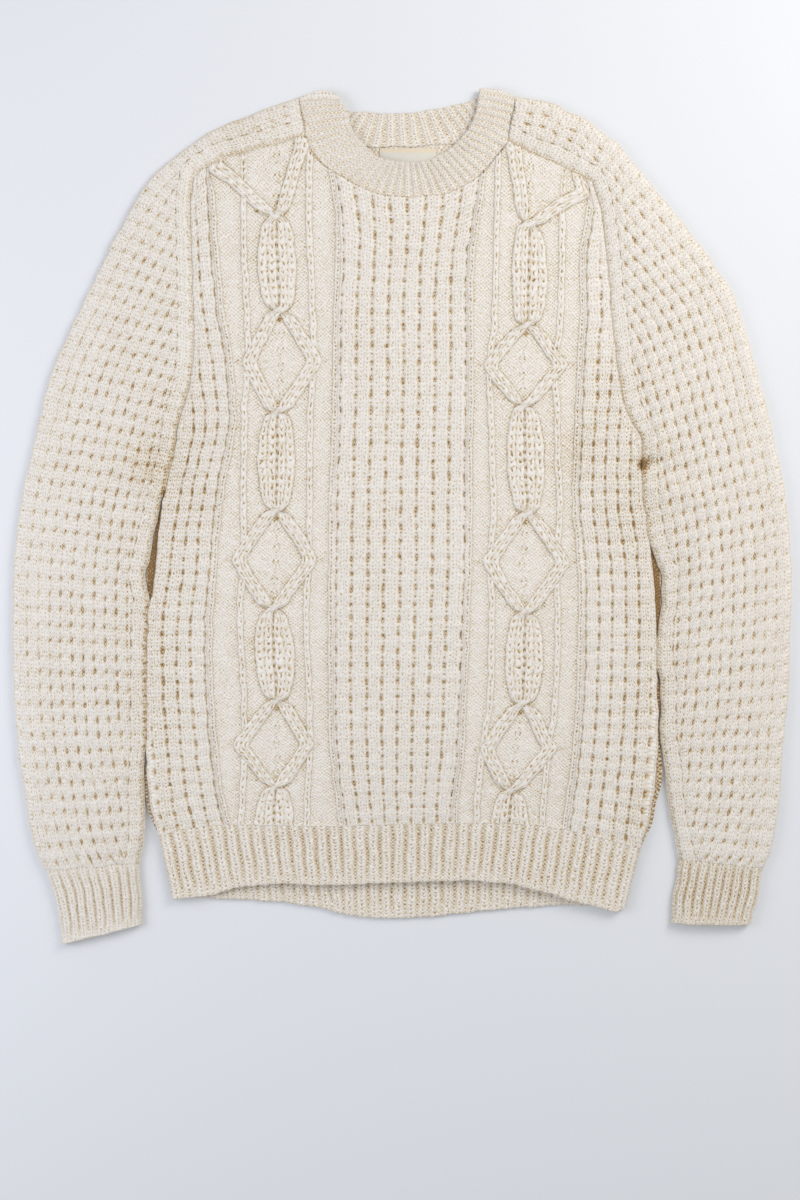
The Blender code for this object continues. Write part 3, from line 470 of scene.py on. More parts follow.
def wool(name):
    material, tree, shader = new_material(name)
    knit = add(tree, "ShaderNodeAttribute", attribute_name="knit").outputs["Vector"]
    depth = add(tree, "ShaderNodeAttribute", attribute_name="depth").outputs["Fac"]
    place = add(tree, "ShaderNodeTexCoord").outputs["Object"]

    # No two stitches are quite alike: the count of columns and rows sways a little
    sway = add(tree, "ShaderNodeTexNoise", {"Vector": place, "Scale": SWAY_SCALE, "Detail": 1.0})
    sway = {0: sway.outputs["Color"], 1: (0.6, 1.3, 0.0), 2: (-0.3, -0.65, 0.0)}
    sway = add(tree, "ShaderNodeVectorMath", sway, operation="MULTIPLY_ADD")
    swayed = add(tree, "ShaderNodeVectorMath", {0: knit, 1: sway}, operation="ADD")
    column, row, kind = add(tree, "ShaderNodeSeparateXYZ", {0: swayed}).outputs

    # Knit side: two legs to a column, each leg a slanting row of bulges
    edge = add(tree, "ShaderNodeMath", {0: column, 1: 0.5}, operation="PINGPONG")
    turn = add(tree, "ShaderNodeMath", {0: edge, 1: math.tau}, operation="MULTIPLY")
    leg = add(tree, "ShaderNodeMath", {0: turn}, operation="SINE")
    slant = {0: edge, 1: -2 * STITCH_SLANT, 2: row}
    slant = add(tree, "ShaderNodeMath", slant, operation="MULTIPLY_ADD")
    turn = add(tree, "ShaderNodeMath", {0: slant, 1: math.tau}, operation="MULTIPLY")
    beat = add(tree, "ShaderNodeMath", {0: turn}, operation="COSINE")
    bulge = add(tree, "ShaderNodeMath", {0: beat, 1: 0.28, 2: 0.72}, operation="MULTIPLY_ADD")
    legs = add(tree, "ShaderNodeMath", {0: leg, 1: bulge}, operation="MULTIPLY")

    # The middle of a column is full where the legs join and open where they part
    middle = add(tree, "ShaderNodeMath", {0: edge, 1: 2.0}, operation="MULTIPLY")
    middle = add(tree, "ShaderNodeMath", {0: middle, 1: 4.0}, operation="POWER")
    joined = add(tree, "ShaderNodeMath", {0: beat, 1: 0.45, 2: 0.45}, operation="MULTIPLY_ADD")
    full = add(tree, "ShaderNodeMath", {0: middle, 1: joined, 2: legs}, operation="MULTIPLY_ADD")

    # Neighbouring columns touch once a row, so dots and not a line part them
    border = add(tree, "ShaderNodeMath", {0: edge, 1: -2.0, 2: 1.0}, operation="MULTIPLY_ADD")
    border = add(tree, "ShaderNodeMath", {0: border, 1: 4.0}, operation="POWER")
    touching = add(tree, "ShaderNodeMath", {0: beat, 1: -0.42, 2: 0.48}, operation="MULTIPLY_ADD")
    knit_side = {0: border, 1: touching, 2: full}
    knit_side = add(tree, "ShaderNodeMath", knit_side, operation="MULTIPLY_ADD")

    # Purl side: staggered bars
    turn = add(tree, "ShaderNodeMath", {0: column, 1: math.tau}, operation="MULTIPLY")
    bars = add(tree, "ShaderNodeMath", {0: turn}, operation="COSINE")
    turn = add(tree, "ShaderNodeMath", {0: row, 1: math.tau}, operation="MULTIPLY")
    rows = add(tree, "ShaderNodeMath", {0: turn}, operation="COSINE")
    check = add(tree, "ShaderNodeMath", {0: bars, 1: rows}, operation="MULTIPLY")
    purl_side = add(tree, "ShaderNodeMath", {0: check, 1: 0.42, 2: 0.62}, operation="MULTIPLY_ADD")
    stitch = add(tree, "ShaderNodeMix", {0: kind, 2: knit_side, 3: purl_side})

    # Yarn: soft clumps of fibre, and cloudy changes of tone
    fibre = add(tree, "ShaderNodeTexNoise", {"Vector": place, "Scale": CLUMP_SCALE, "Detail": 3.0})
    cloud = add(tree, "ShaderNodeTexNoise", {"Vector": place, "Scale": CLOUD_SCALE, "Detail": 4.0})
    height = add(tree, "ShaderNodeMath", {0: fibre, 1: 0.4, 2: stitch}, operation="MULTIPLY_ADD")

    # Colour: painted shade from how deep the point is in its stitch and in the relief, and which fibre
    # it lies on
    tint = add(tree, "ShaderNodeMath", {0: stitch, 1: 0.84, 2: -0.79}, operation="MULTIPLY_ADD")
    for source, share in ((depth, 0.70), (fibre, 0.75), (cloud, 0.20)):
        tint = add(tree, "ShaderNodeMath", {0: source, 1: share, 2: tint}, operation="MULTIPLY_ADD")
    ramp = set_ramp(add(tree, "ShaderNodeValToRGB", {0: tint}), WOOL_STOPS)
    bump = add(tree, "ShaderNodeBump", {"Height": height, "Strength": 0.6, "Distance": 0.0011})
    wire(tree, shader, {
        "Base Color": ramp, "Normal": bump, "Roughness": 0.92, "IOR": 1.45,
        "Specular IOR Level": 0.25, "Sheen Weight": 0.25, "Sheen Roughness": 0.5,
        "Sheen Tint": linear("#FFF4E2"),
    })
    return material


WOOLS = {
    "body_knit": wool("Undyed_wool_waffle_and_cable_knit"),
    "rib_knit": wool("Undyed_wool_rib_knit"),
}
print("materials:", *[material.name for material in WOOLS.values()])

# %% [markdown]
# ## A shell of knitted cloth
#
# Nearly every piece below is one closed shell made by the same function. The outer face has all the
# rows and columns of the pattern. The inner face has the same columns and only a few rows, because
# nobody sees it. A sheet gets a wall along its sides. A tube, such as a sleeve, joins its last
# column to its first. The faces are turned outwards by the sign of the volume that they enclose.


# %% Soft fields
STEP_SEEN = 0.3  # a neighbour has to stand this much higher before it shades a point
WIDE_SHARE, WIDE_MOST = 0.8, 0.2  # how much, and up to what height, the wider surroundings count
WAVES = 7  # waves in an uneven field


def blur(field, reach, axes=(0, 1)):
    """The field averaged over a soft window of so many samples either way."""
    weights = np.exp(-0.5 * (np.arange(-reach, reach + 1) / (reach / 2)) ** 2)
    weights /= weights.sum()
    for axis in axes:
        pad = [(reach, reach) if axis == a else (0, 0) for a in (0, 1)]
        padded = np.pad(field, pad, mode="edge")
        size = field.shape[axis]
        field = sum(
            weight * np.take(padded, range(start, start + size), axis=axis)
            for start, weight in enumerate(weights)
        )
    return field


def depth_of(relief, reach, base, scale, walls=0.0):
    """Painted shade and light from the relief: 0 in a deep recess, 1 on a crest, set by the relief
    against its near and its wider surroundings and by higher walls beside it.
    """
    close = relief - blur(relief, reach)
    wide = relief - blur(relief, 3 * reach)
    padded = np.pad(relief, ((0, 0), (2, 2)), mode="edge")
    beside = np.max([padded[:, k : k + relief.shape[1]] for k in range(5)], axis=0)
    wall = walls * np.clip(beside - relief - STEP_SEEN, 0, 3)
    around = WIDE_SHARE * np.minimum(wide, WIDE_MOST)
    return np.clip(base + close / scale + around / scale - wall, 0, 1)


def wobble(x, y, wavelength, seed):
    """A smooth uneven field between about -1 and 1, from a few waves that run at odd angles."""
    chance = np.random.default_rng(seed)
    field = np.zeros_like(x)
    for _ in range(WAVES):
        turn, phase = chance.uniform(0, math.tau, 2)
        pitch = wavelength * chance.uniform(0.7, 1.5)
        field = field + np.sin(math.tau * (x * math.cos(turn) + y * math.sin(turn)) / pitch + phase)
    return field / 3


def handmade(points):
    """The same points, pushed about a little in the plane of the cloth, as hand knitting is."""
    x, y = points[..., 0], points[..., 1]
    moved = points.copy()
    moved[..., 0] += 0.5 * wobble(x, y, 28, 51) + 0.25 * wobble(x, y, 9, 52)
    moved[..., 1] += 0.5 * wobble(x, y, 30, 53) + 0.25 * wobble(x, y, 10, 54)
    return moved


# %% Cloth objects
def quads(grid):
    corners = [grid[:-1, :-1], grid[:-1, 1:], grid[1:, 1:], grid[1:, :-1]]
    return np.stack(corners, axis=-1).reshape(-1, 4)


def closed(grid):
    """A grid of point numbers with its first column once more at its end."""
    return np.hstack([grid, grid[:, :1]])


def enclosed(mesh):
    """Six times the volume that the faces enclose, negative if they point inwards."""
    mesh.calc_loop_triangles()
    corners = np.empty(len(mesh.loop_triangles) * 3, int)
    mesh.loop_triangles.foreach_get("vertices", corners)
    places = np.empty(len(mesh.vertices) * 3, np.float32)
    mesh.vertices.foreach_get("co", places)
    a, b, c = places.reshape(-1, 3)[corners.reshape(-1, 3)].transpose(1, 0, 2).astype(float)
    return float(np.einsum("ij,ij->", a, np.cross(b, c)))


def cloth(name, node, slot, points, faces, knit, depth):
    """A piece of knitted cloth in place of a node, from its points, faces and attributes."""
    mesh = bpy.data.meshes.new(name)
    mesh.from_pydata((handmade(points) * MM).tolist(), [], faces)
    knit_data = mesh.attributes.new("knit", "FLOAT_VECTOR", "POINT").data
    knit_data.foreach_set("vector", knit.astype(np.float32).ravel())
    depth_data = mesh.attributes.new("depth", "FLOAT", "POINT").data
    depth_data.foreach_set("value", depth.astype(np.float32).ravel())
    if enclosed(mesh) < 0:
        mesh.flip_normals()
    mesh.shade_smooth()
    mesh.materials.append(WOOLS[slot])
    piece = bpy.data.objects.new(name, mesh)
    bpy.context.collection.objects.link(piece)
    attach(piece, "root")
    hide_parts(node)
    print(f"{name}: {len(mesh.vertices)} points, {len(mesh.loop_triangles)} triangles")
    return piece


# %% Shell builder
SHARP = math.radians(80)  # edges that turn more than this aren't shaded smooth


def shell(name, node, slot, outer, inner, picks, knit, depth, ring=False, lining_depth=0.4):
    """One closed piece of cloth from its outer grid and the rows that its inner face keeps."""
    rows, columns = depth.shape
    grid = np.arange(rows * columns).reshape(rows, columns)
    lining = rows * columns + np.arange(len(picks) * columns).reshape(len(picks), columns)
    if ring:
        grid, lining = closed(grid), closed(lining)
    faces = quads(grid).tolist() + quads(lining)[:, ::-1].tolist()
    faces += quads(np.stack([lining[0], grid[0]])).tolist()
    faces += quads(np.stack([grid[-1], lining[-1]])).tolist()
    if not ring:
        for k, (low, high) in enumerate(zip(picks, picks[1:])):
            left = grid[low : high + 1, 0].tolist()
            faces.append([*left, int(lining[k + 1, 0]), int(lining[k, 0])])
            right = grid[low : high + 1, -1][::-1].tolist()
            faces.append([*right, int(lining[k, -1]), int(lining[k + 1, -1])])
    points = np.vstack([outer.reshape(-1, 3), inner.reshape(-1, 3)])
    plain = knit[picks].copy()
    plain[..., 2] = 1.0
    counts = np.vstack([knit.reshape(-1, 3), plain.reshape(-1, 3)])
    lining_depths = np.broadcast_to(lining_depth, (len(picks), columns))
    depths = np.concatenate([depth.ravel(), lining_depths.ravel()])
    piece = cloth(name, node, slot, points, faces, counts, depths)
    piece.data.set_sharp_from_angle(angle=SHARP)
    return piece


# %% [markdown]
# ## Waffle stitch
#
# In this waffle two knit columns stand up, then one purl column lies low, and every fourth row the
# purl column opens into a small hole. A wale below is one such group. Its table gives half of it,
# from the hole column to the middle of the two knit columns, and the other half is its mirror
# image. No two holes of a hand-knit look are quite alike, so each gets its own size and shift.

# %% Waffle relief
HALF_HOLE = 0.29  # half the height of a hole, in repeats
HOLE_COLUMN = 0.1  # half the width of a hole column, in wales
SLOT_DEPTH, SLOT_CLOSING = 1.3, 0.65  # a stretched groove's depth, and how far its holes close up
BRIDGE = 0.9  # how far the stitch that parts two holes sinks below the ones beside it
BODY_WALE = (  # share of a wale, height between holes, height at a hole, knit columns counted
    (0.0, 0.8, -1.7, -0.5), (0.068, 1.2, -1.15, -0.2), (0.12, 1.8, 0.6, 0.0),
    (0.2, 2.2, 2.0, 0.25), (0.305, 2.05, 1.85, 0.5), (0.41, 2.2, 2.1, 0.75), (0.5, 1.9, 1.7, 1.0),
)
SLEEVE_PARTS = (  # the same for the narrower wales of a sleeve
    (0.0, 1.25, -1.5, -0.5), (0.09, 1.4, -0.6, -0.15), (0.18, 1.9, 1.3, 0.2), (0.31, 2.0, 1.9, 0.5),
    (0.42, 2.0, 1.95, 0.8), (0.5, 1.85, 1.8, 1.0),
)


def wale_columns(half, wales):
    """Rows of (place in wales, height between holes, height at a hole, knit columns counted)."""
    half = np.array(half)
    mirrored = half[-2:0:-1] * (-1, 1, 1, -1) + (1, 0, 0, 2)
    whole = np.vstack([half, mirrored])
    return np.vstack([whole + (wale, 0, 0, 3 * wale) for wale in range(wales)])


def at_hole(place, half=HOLE_COLUMN):
    """Whether columns at these places, counted in wales, lie in a hole column."""
    return np.abs(place - np.round(place)) < half


def open_share(turn, wale, seed):
    """1 in the middle of a hole, 0 away from it. turn counts the rows of holes."""
    chance = np.random.default_rng(seed)
    sizes = chance.uniform(0.5, 1.15, (64, 96))
    shifts = chance.normal(0, 0.06, (64, 96))
    strengths = np.clip(chance.normal(0.92, 0.2, (64, 96)), 0.3, 1.1)
    nearest = np.round(turn)
    pick = (np.broadcast_to(wale, turn.shape).astype(int) % 64, nearest.astype(int) % 96)
    away = (turn - nearest - shifts[pick]) / (HALF_HOLE * sizes[pick])
    return strengths[pick] * np.exp(-(away**4) - 0.4 * away**2)


def between_holes(turn):
    """1 on the stitch halfway between two holes of a column."""
    return bell(np.abs(turn - np.round(turn)) - 0.5, 0.08)


def waffle(columns, turn, seed, lean=0.0, slots=0.0, puffed=0.2):
    """Relief of the waffle at its columns (across) and at the rows that turn gives (down).

    Where slots is near 1 the cloth is stretched: its holes close up into long shallow grooves."""
    place, rib, hole, _ = columns.T
    wale = np.round(place)
    turn = turn[:, None] + lean * (place - wale)
    opened = open_share(turn, wale, seed) * (1 - SLOT_CLOSING * slots)
    near = bell(place - wale, HOLE_COLUMN)
    puff = puffed * np.cos(math.tau * turn) * (1 - near)
    sunk = (BRIDGE * between_holes(turn) + SLOT_DEPTH * slots) * near
    return rib + (hole - rib) * opened - sunk - puff


def uneven(x, y):
    """Heights by which hand-knit cloth puffs up a little here and there."""
    return 0.22 * wobble(x, y, 20, 55) + 0.16 * wobble(x, y, 6, 56)


def stitch_relief(across, row, kind):
    """The small V of each knit stitch."""
    edge = 0.5 - np.abs(across % 1 - 0.5)
    leg = np.sin(math.tau * edge)
    return STITCH_RISE * leg * np.cos(math.tau * (row - 2 * STITCH_SLANT * edge)) * (1 - kind)


# %% [markdown]
# ## Ropes and diamonds
#
# Each cable is made of two bands of two knit columns on purl ground. Where they run side by side
# they make a rope, and where they part and meet again, a diamond. At each crossing one band
# passes over the other: here it is always the one that climbs from left to right. A seed column
# runs up the middle of a diamond, and a single knit column stands on either side of the cable.

# %% Cable sizes
KNOT_SPAN, KNOT_REACH = 10.0, 6.5  # height of a crossing, and of the part that it draws tight
SLIP = 0.5  # a cable's stitches are drawn out to two rows each
PURL_ROWS = 1.15  # and those of the ground between are a little shorter
SEED_PITCH = 14.2  # from one seed to the next
CABLE_COLUMNS = 116
AWAY = -9.0  # a strand's height beyond its sides, where other layers show instead
BAND_MARGIN, BAND_SLOPE = 0.6, 2.7  # how far a band reaches out, and how wide its sides are
HOLE_EDGE = 1.7  # width of the hole column inside a border
HOLE_INWARD = (0, 0.75, 1.5)  # distances into a border from the holes along it
HOLE_LOW, HOLE_HIGH = (-1.7, -0.9, 0.7), (0.8, 1.1, 1.7)  # heights there, at a hole and beside it
SLIT, SLIT_TONE = 1.5, 0.35  # the slit up the middle of a rope: half width, and its painted shade
HOLLOW_DEPTH, HOLLOW_TONE = 1.4, 0.45  # hollows at the corners of a diamond: depth, and their painted shade
DOT_DEPTH, DOT_TONE, LINE_TONE, VALLEY_TONE = 0.3, 0.08, 0.05, 0.15  # on a strand's stitches: a dot's depth, and painted shade in the dots, the line and the groove
BAND_TONE, COLUMN_TONE = 0.11, 0.08  # how much darker a strand is than its relief makes it
SHADOW_TONE, SHADOW_REACH = 0.13, 4.5  # painted shadow on the ground to the left of a strand
GLOW_TONE = 0.06  # painted light: how much the open ground is lighter
FAINT_TONE, FAINT_REACH = 0.05, 2.5  # painted shade on the ground to the right of a strand

# One strand or the ground: its height, its columns counted, 1 for purl, and its stitches to a row
Layer = namedtuple("Layer", "height across kind drawn_out")


def border_width(cable, level, side):
    """Width of the border beside a cable; towards the shoulder the outer one runs out."""
    shrink = np.clip((HEAD + 4 - level) / 30, 0.05, 1)
    return BORDER * shrink if side == cable.outside else np.full_like(level, BORDER)


def ground_reach(cable, level, side):
    """Distance from the cable's middle to the border on one side."""
    border = cable.left_border if side < 0 else cable.right_border
    room = side * (value(border, level) - value(cable.middle, level))
    return room - border_width(cable, level, side)


def within(motif, level, from_top, from_bottom):
    """1 inside a motif, running out softly at these distances from its ends."""
    inside = np.minimum(motif.top - level - from_top, level - motif.bottom - from_bottom)
    return np.clip(inside / 4, 0, 1)


def band_edges(cable, level, side):
    """Inner and outer edge of a cable's band on one side, measured from the cable's middle."""
    inner, outer = np.zeros_like(level), np.zeros_like(level)
    limit = ground_reach(cable, level, side) - 1.2
    if side == cable.outside:
        limit = limit + (border_width(cable, level, side) + 1) * np.clip((level - 268) / 16, 0, 1)
    for motif in cable.motifs:
        here = (level > motif.bottom) & (level <= motif.top)
        share = np.clip((motif.top - level) / (motif.top - motif.bottom), 0, 1)
        reach = motif.reach_left if side < 0 else motif.reach_right
        if motif.kind == "rope":
            swell = np.sin(math.pi * share) ** 0.6
            far = KNOT_HALF + (reach - KNOT_HALF) * swell
            near = np.full_like(level, SLIT_HALF)
        else:
            out = 1 - np.sqrt((2 * share - 1) ** 2 + 0.003)
            middle = KNOT_HALF / 2 + (reach - BAND / 2 - KNOT_HALF / 2) * out
            far = np.minimum(middle + BAND / 2, limit)
            near = np.maximum(far - BAND, SLIT_HALF)
        inner, outer = np.where(here, near, inner), np.where(here, far, outer)
    return blur(np.column_stack([inner, outer]), 3, axes=(0,)).T


# %% Relief of strands
def band_relief(offset, centre, half, lift, calm):
    """Two knit columns with a groove between them; the place counts from 0 to 2 across them."""
    half = half + BAND_MARGIN
    place = (offset - centre) / half + 1
    side = np.clip((half - np.abs(offset - centre)) / BAND_SLOPE, 0, 1)
    height = STRAND_RISE * side * (2 - side) * (1.04 - 0.1 * (place - 1) ** 2) + lift
    groove = 0.65 * (STRAND_RISE - GROOVE_RISE) * bell(place - 1, 0.17)
    height = height - calm * (groove + 0.4 * bell(place % 1 - 0.5, 0.15))
    return np.where((place > 0) & (place < 2), height, AWAY), place


def column_relief(place, rise):
    """One knit column, the place counting from 0 to 1 across it."""
    dip = bell(place - 0.5, 0.16)
    height = rise * (1 - (2 * place - 1) ** 4) - 0.5 * dip * np.minimum(rise, 1)
    return np.where((place > 0) & (place < 1), height, AWAY)


def seed_column(cable, offset, level):
    """Small arches over pairs of dark strokes, up the middle of the diamonds: relief, and marks of
    painted shade on the strokes and dots and painted light on the arches.
    """
    relief, marks_and_shade = np.zeros_like(offset), np.zeros_like(offset)
    for motif in cable.motifs:
        if motif.kind != "diamond":
            continue
        inside = within(motif, level, 13, 11)
        beat = (level - motif.bottom) / SEED_PITCH
        beat = (beat - np.round(beat)) * SEED_PITCH
        sway = 0.5 * np.sin(level / 6.1)
        strokes = bell(np.abs(offset - sway) - 2.2, 1.0) * np.exp(-((beat / 2.0) ** 4))
        dots = bell(offset - sway, 1.3) * bell(np.abs(beat) - 5.4, 1.4)
        ring = np.hypot(offset - sway, (beat - 0.8) * 0.7)
        arch = bell(ring - 3.6, 1.1) * np.clip(beat + 1.5, 0, 1)
        relief = relief + inside * (0.8 * arch - 0.6 * strokes - 0.4 * dots)
        marks_and_shade = marks_and_shade + inside * (0.6 * strokes + 0.45 * dots - 0.1 * arch)
    return relief, marks_and_shade


# %% Columns and layers of a cable
def crowded(offsets, features, count):
    """Places of the columns in each row, drawn together where the relief has its edges."""
    density = np.ones_like(offsets)
    for feature in features:
        density = density + 2.0 * bell(offsets - feature, 1.1)
    steps = (density[:, 1:] + density[:, :-1]) / 2 * np.diff(offsets, axis=1)
    total = np.hstack([np.zeros_like(steps[:, :1]), np.cumsum(steps, axis=1)])
    total /= total[:, -1:]
    even = np.linspace(0, 1, count)
    return np.stack([np.interp(even, row, place) for row, place in zip(total, offsets)])


def cable_offsets(cable, level, edges, lines):
    """Distance of each column from the cable's middle, from border to border."""
    features = [-1.4, 1.4]
    for side, (near, far) in edges.items():
        line = lines[side]
        room = ground_reach(cable, level, side)
        places = (
            near - BAND_MARGIN, (near + far) / 2, far + BAND_MARGIN,
            line - LINE_HALF, line + LINE_HALF, room, room + 2.5,
        )
        features += [side * place[:, None] for place in places]
    middle = value(cable.middle, level)
    ends = [value(border, level) - middle for border in (cable.left_border, cable.right_border)]
    return crowded(np.linspace(*ends, 500, axis=1), features, CABLE_COLUMNS)


def crossing_bands(cable, offset, column, edges):
    """The two bands of a cable as layers, and how near each row is to a crossing."""
    from_crossing = column - np.array([motif.top for motif in cable.motifs[1:]])
    nearest = np.abs(from_crossing).argmin(axis=1)
    past = np.take_along_axis(from_crossing, nearest[:, None], axis=1)
    swap = np.clip(past / KNOT_SPAN + 0.5, 0, 1)
    swap = swap**2 * (3 - 2 * swap)
    knot = bell(past, KNOT_REACH)
    centre = {side: side * (sum(edges[side]) / 2)[:, None] for side in (-1, 1)}
    half = {side: ((edges[side][1] - edges[side][0]) / 2)[:, None] for side in (-1, 1)}
    bands = []
    for lift, start in ((0.7, -1), (-1.1, 1)):  # the band that passes over, then the one under it
        mid = (1 - swap) * centre[start] + swap * centre[-start]
        wide = (1 - swap) * half[start] + swap * half[-start]
        height, place = band_relief(offset, mid, wide, lift * knot, 1 - 0.8 * knot)
        bands.append(Layer(height, place, 0.0, SLIP))
    return bands, knot


# %% Shade and hollows of a cable
def strand_shade(offset, across, turn, best, drawn_out, knot, marks_and_shade):
    """Painted shade in the dots and grooves of the strands, a painted shadow thrown on the ground, and
    painted light on the open ground.
    """
    line = bell(across % 1 - 0.5, 0.15)
    parting = np.clip(np.cos(math.tau * (STITCHES * SLIP * turn - 0.3)), 0, 1) ** 2
    dots = bell(across % 1 - 0.5, 0.2) * parting * (drawn_out < 1)
    ground, band = best == 0, (best == 1) | (best == 2)
    speckle = 0.6 + 0.4 * np.cos(math.tau * 2 * STITCHES * SLIP * turn)
    valley = bell(across - 1, 0.14) * band * (1 - 0.7 * knot)
    beside = 0.5 + 0.5 * np.cos(math.tau * STITCHES * turn)
    bordering = (drawn_out == 1.0) * line * (0.08 + 0.16 * beside)
    strands = DOT_TONE * dots + LINE_TONE * line + VALLEY_TONE * speckle * valley + bordering
    marks_and_shade = np.where(ground, marks_and_shade, strands + np.where(band, BAND_TONE, COLUMN_TONE))
    right = np.where(ground, np.inf, offset)[:, ::-1]
    right = np.minimum.accumulate(right, axis=1)[:, ::-1] - offset
    left = offset - np.maximum.accumulate(np.where(ground, -np.inf, offset), axis=1)
    shadow = SHADOW_TONE * bell(np.minimum(right, 99), SHADOW_REACH)
    faint = FAINT_TONE * bell(np.minimum(left, 99), FAINT_REACH)
    return marks_and_shade + (shadow - GLOW_TONE) * ground + faint * ground, DOT_DEPTH * dots


def diamond_hollows(cable, offset, column):
    """Small hollows where a diamond's bands part, meet and turn."""
    hollows = np.zeros_like(offset)
    for motif in cable.motifs:
        if motif.kind != "diamond":
            continue
        spots = [(0, motif.bottom + 9.5, 1.8), (0, motif.top - 8.5, 2.3), (0, motif.top - 8.5, 1.9)]
        for side, reach in ((-1, motif.reach_left), (1, motif.reach_right)):
            spots.append((side * (reach + 2.6), (motif.top + motif.bottom) / 2, 1.9))
            spots.append((side * 17.5, motif.bottom + 5.5, 1.6))
            spots.append((side * 15.0, motif.top - 6.0, 1.4))
        for spot in spots:
            hollows = hollows + dimple(offset, column, *spot)
    return hollows


# %% A cable from border to border
def cable_strip(cable, level, turn, holes):
    """x, relief, knit columns and rows counted, kind of stitch and marks of painted shade, border to
    border.
    """
    column = level[:, None]
    edges = {side: band_edges(cable, level, side) for side in (-1, 1)}
    lines = {
        side: np.minimum(LINE_OFFSET, ground_reach(cable, level, side) - LINE_HALF)
        for side in (-1, 1)
    }
    offset = cable_offsets(cable, level, edges, lines)
    x = value(cable.middle, level)[:, None] + offset
    knit_turn = rows_at(cloth_y(x, column))

    seeds, marks_and_shade = seed_column(cable, offset, column)
    bands, knot = crossing_bands(cable, offset, column, edges)
    layers = [Layer(seeds, offset / PURL_COLUMN, 1.0, PURL_ROWS), *bands]
    inward = {}
    for side, border in ((-1, cable.left_border), (1, cable.right_border)):
        rise = LINE_RISE * np.clip((lines[side] + 4 - edges[side][1]) / 6, 0, 1)
        place = (side * offset - lines[side][:, None]) / (2 * LINE_HALF) + 0.5
        layers.append(Layer(column_relief(place, rise[:, None]), place, 0.0, SLIP))
        inward[side] = np.abs(x - value(border, level)[:, None])
        wide = np.maximum(border_width(cable, level, side)[:, None] - 1.4, 0.1)
        place = (inward[side] - HOLE_EDGE) / wide
        layers.append(Layer(column_relief(place, BORDER_RISE), place, 0.0, 1.0))
    heights = np.stack([layer.height for layer in layers])
    best, relief = heights.argmax(axis=0), heights.max(axis=0)
    across, kind, drawn_out = (
        np.choose(best, [np.broadcast_to(layer[part], x.shape) for layer in layers])
        for part in (1, 2, 3)
    )
    marks_and_shade, dotted = strand_shade(offset, across, knit_turn, best, drawn_out, knot, marks_and_shade)
    relief = relief - dotted

    for side in (-1, 1):
        opened = open_share(np.broadcast_to(turn[:, None], x.shape), *holes[side])
        low = np.interp(inward[side], HOLE_INWARD, HOLE_LOW)
        high = np.interp(inward[side], HOLE_INWARD, HOLE_HIGH)
        high = high - BRIDGE * between_holes(turn)[:, None] * bell(inward[side], 1.3)
        hole = inward[side] < HOLE_EDGE
        relief = np.where(hole, high + (low - high) * opened, relief)
        across = np.where(hole, inward[side] / PURL_COLUMN, across)
        kind = np.where(hole, 1.0, kind)

    hollows = diamond_hollows(cable, offset, column)
    rope = sum(within(motif, column, 9, 9) for motif in cable.motifs if motif.kind == "rope")
    beads = 0.65 + 0.35 * np.cos(math.tau * knit_turn * STITCHES * SLIP)
    slit = rope * np.exp(-((offset / SLIT) ** 4))
    relief = np.maximum(relief - HOLLOW_DEPTH * hollows, (2.5 - 1.6 * beads) * slit)
    # painted shade in the diamonds' hollows and in the rope's slit, dotted at its stitches
    marks_and_shade = marks_and_shade + HOLLOW_TONE * hollows + SLIT_TONE * beads * slit
    return x, relief, across, STITCHES * knit_turn * drawn_out, kind, marks_and_shade


# %% [markdown]
# ## The front
#
# The front is knitted in one piece. Here it is three shells that meet in the purl columns beside
# the middle waffle, because each stays under 200,000 triangles. Towards the side seam the waffle's
# wales keep their width and run out into the seam, as knitted columns do where a piece is shaped,
# and the cloth rolls over the edge.

# %% Rows of the front
PER_REPEAT = 12  # rows of points from one row of holes to the next
fine = np.linspace(FOOT, HEAD, 4000)
turns = value(WAFFLE_ROWS, fine)
counted = np.arange(math.floor(turns[0] * PER_REPEAT), math.ceil(turns[-1] * PER_REPEAT), -1)
LEVELS = np.interp(-counted / PER_REPEAT, -turns, fine)
LEVELS = np.concatenate([[FOOT], LEVELS[(LEVELS > FOOT + 0.4) & (LEVELS < HEAD - 0.4)], [HEAD]])
TURNS = value(WAFFLE_ROWS, LEVELS)
LINING_ROWS = np.linspace(0, len(LEVELS) - 1, 14).round().astype(int)
CENTRE_SEED, LEFT_SEED, RIGHT_SEED = 3, 5, 9
SQUEEZE = 0.014  # spacing of columns that end in a seam
ROLL, BESIDE_ROLL = 3.0, 3.3  # width of the rolled edge, and where the last column ends
FREE_DROP, SEWN_DROP = 2.6, 0.9  # how far a free edge and a sewn one sink
RUN_OUT = 2.5  # distance over which a wale fades as it ends in a seam
EDGE_RELIEF = 1.3  # height that the pattern fades out to
SEAM_PITCH = 7.4  # distance between the stitches that draw a seam in
SEWN_GAP = 0.8  # widest gap over which body and sleeve still count as sewn together
SUNK, RAISED = 0.6, 0.75  # shares of the pattern's depth and height that the cloth really has
ROW_SHADE = 0.04  # painted shade: how much darker the cloth is drawn along its rows of holes than between them
ROLL_TURNS = np.radians((0, 25, 45, 62, 78, 90))
print(len(LEVELS), "rows on the front")


def rows_at(y):
    """Rows of holes counted at y, evenly on beyond the ends of the front."""
    beyond = np.maximum(y - HEAD, 0) / 15 - np.maximum(FOOT - y, 0) / 14
    return np.interp(y, LEVELS, TURNS) - beyond


def eased(relief):
    """The pattern's relief as soft cloth takes it: its tone is drawn stronger than its shape."""
    above = relief - EDGE_RELIEF
    return EDGE_RELIEF + np.where(above > 0, RAISED, SUNK) * above


def spacing(distance):
    """0 where columns are crowded together, 1 where a stitch has room to stand up."""
    return np.clip(np.abs(np.gradient(distance, axis=1)) / 0.5, 0, 1)


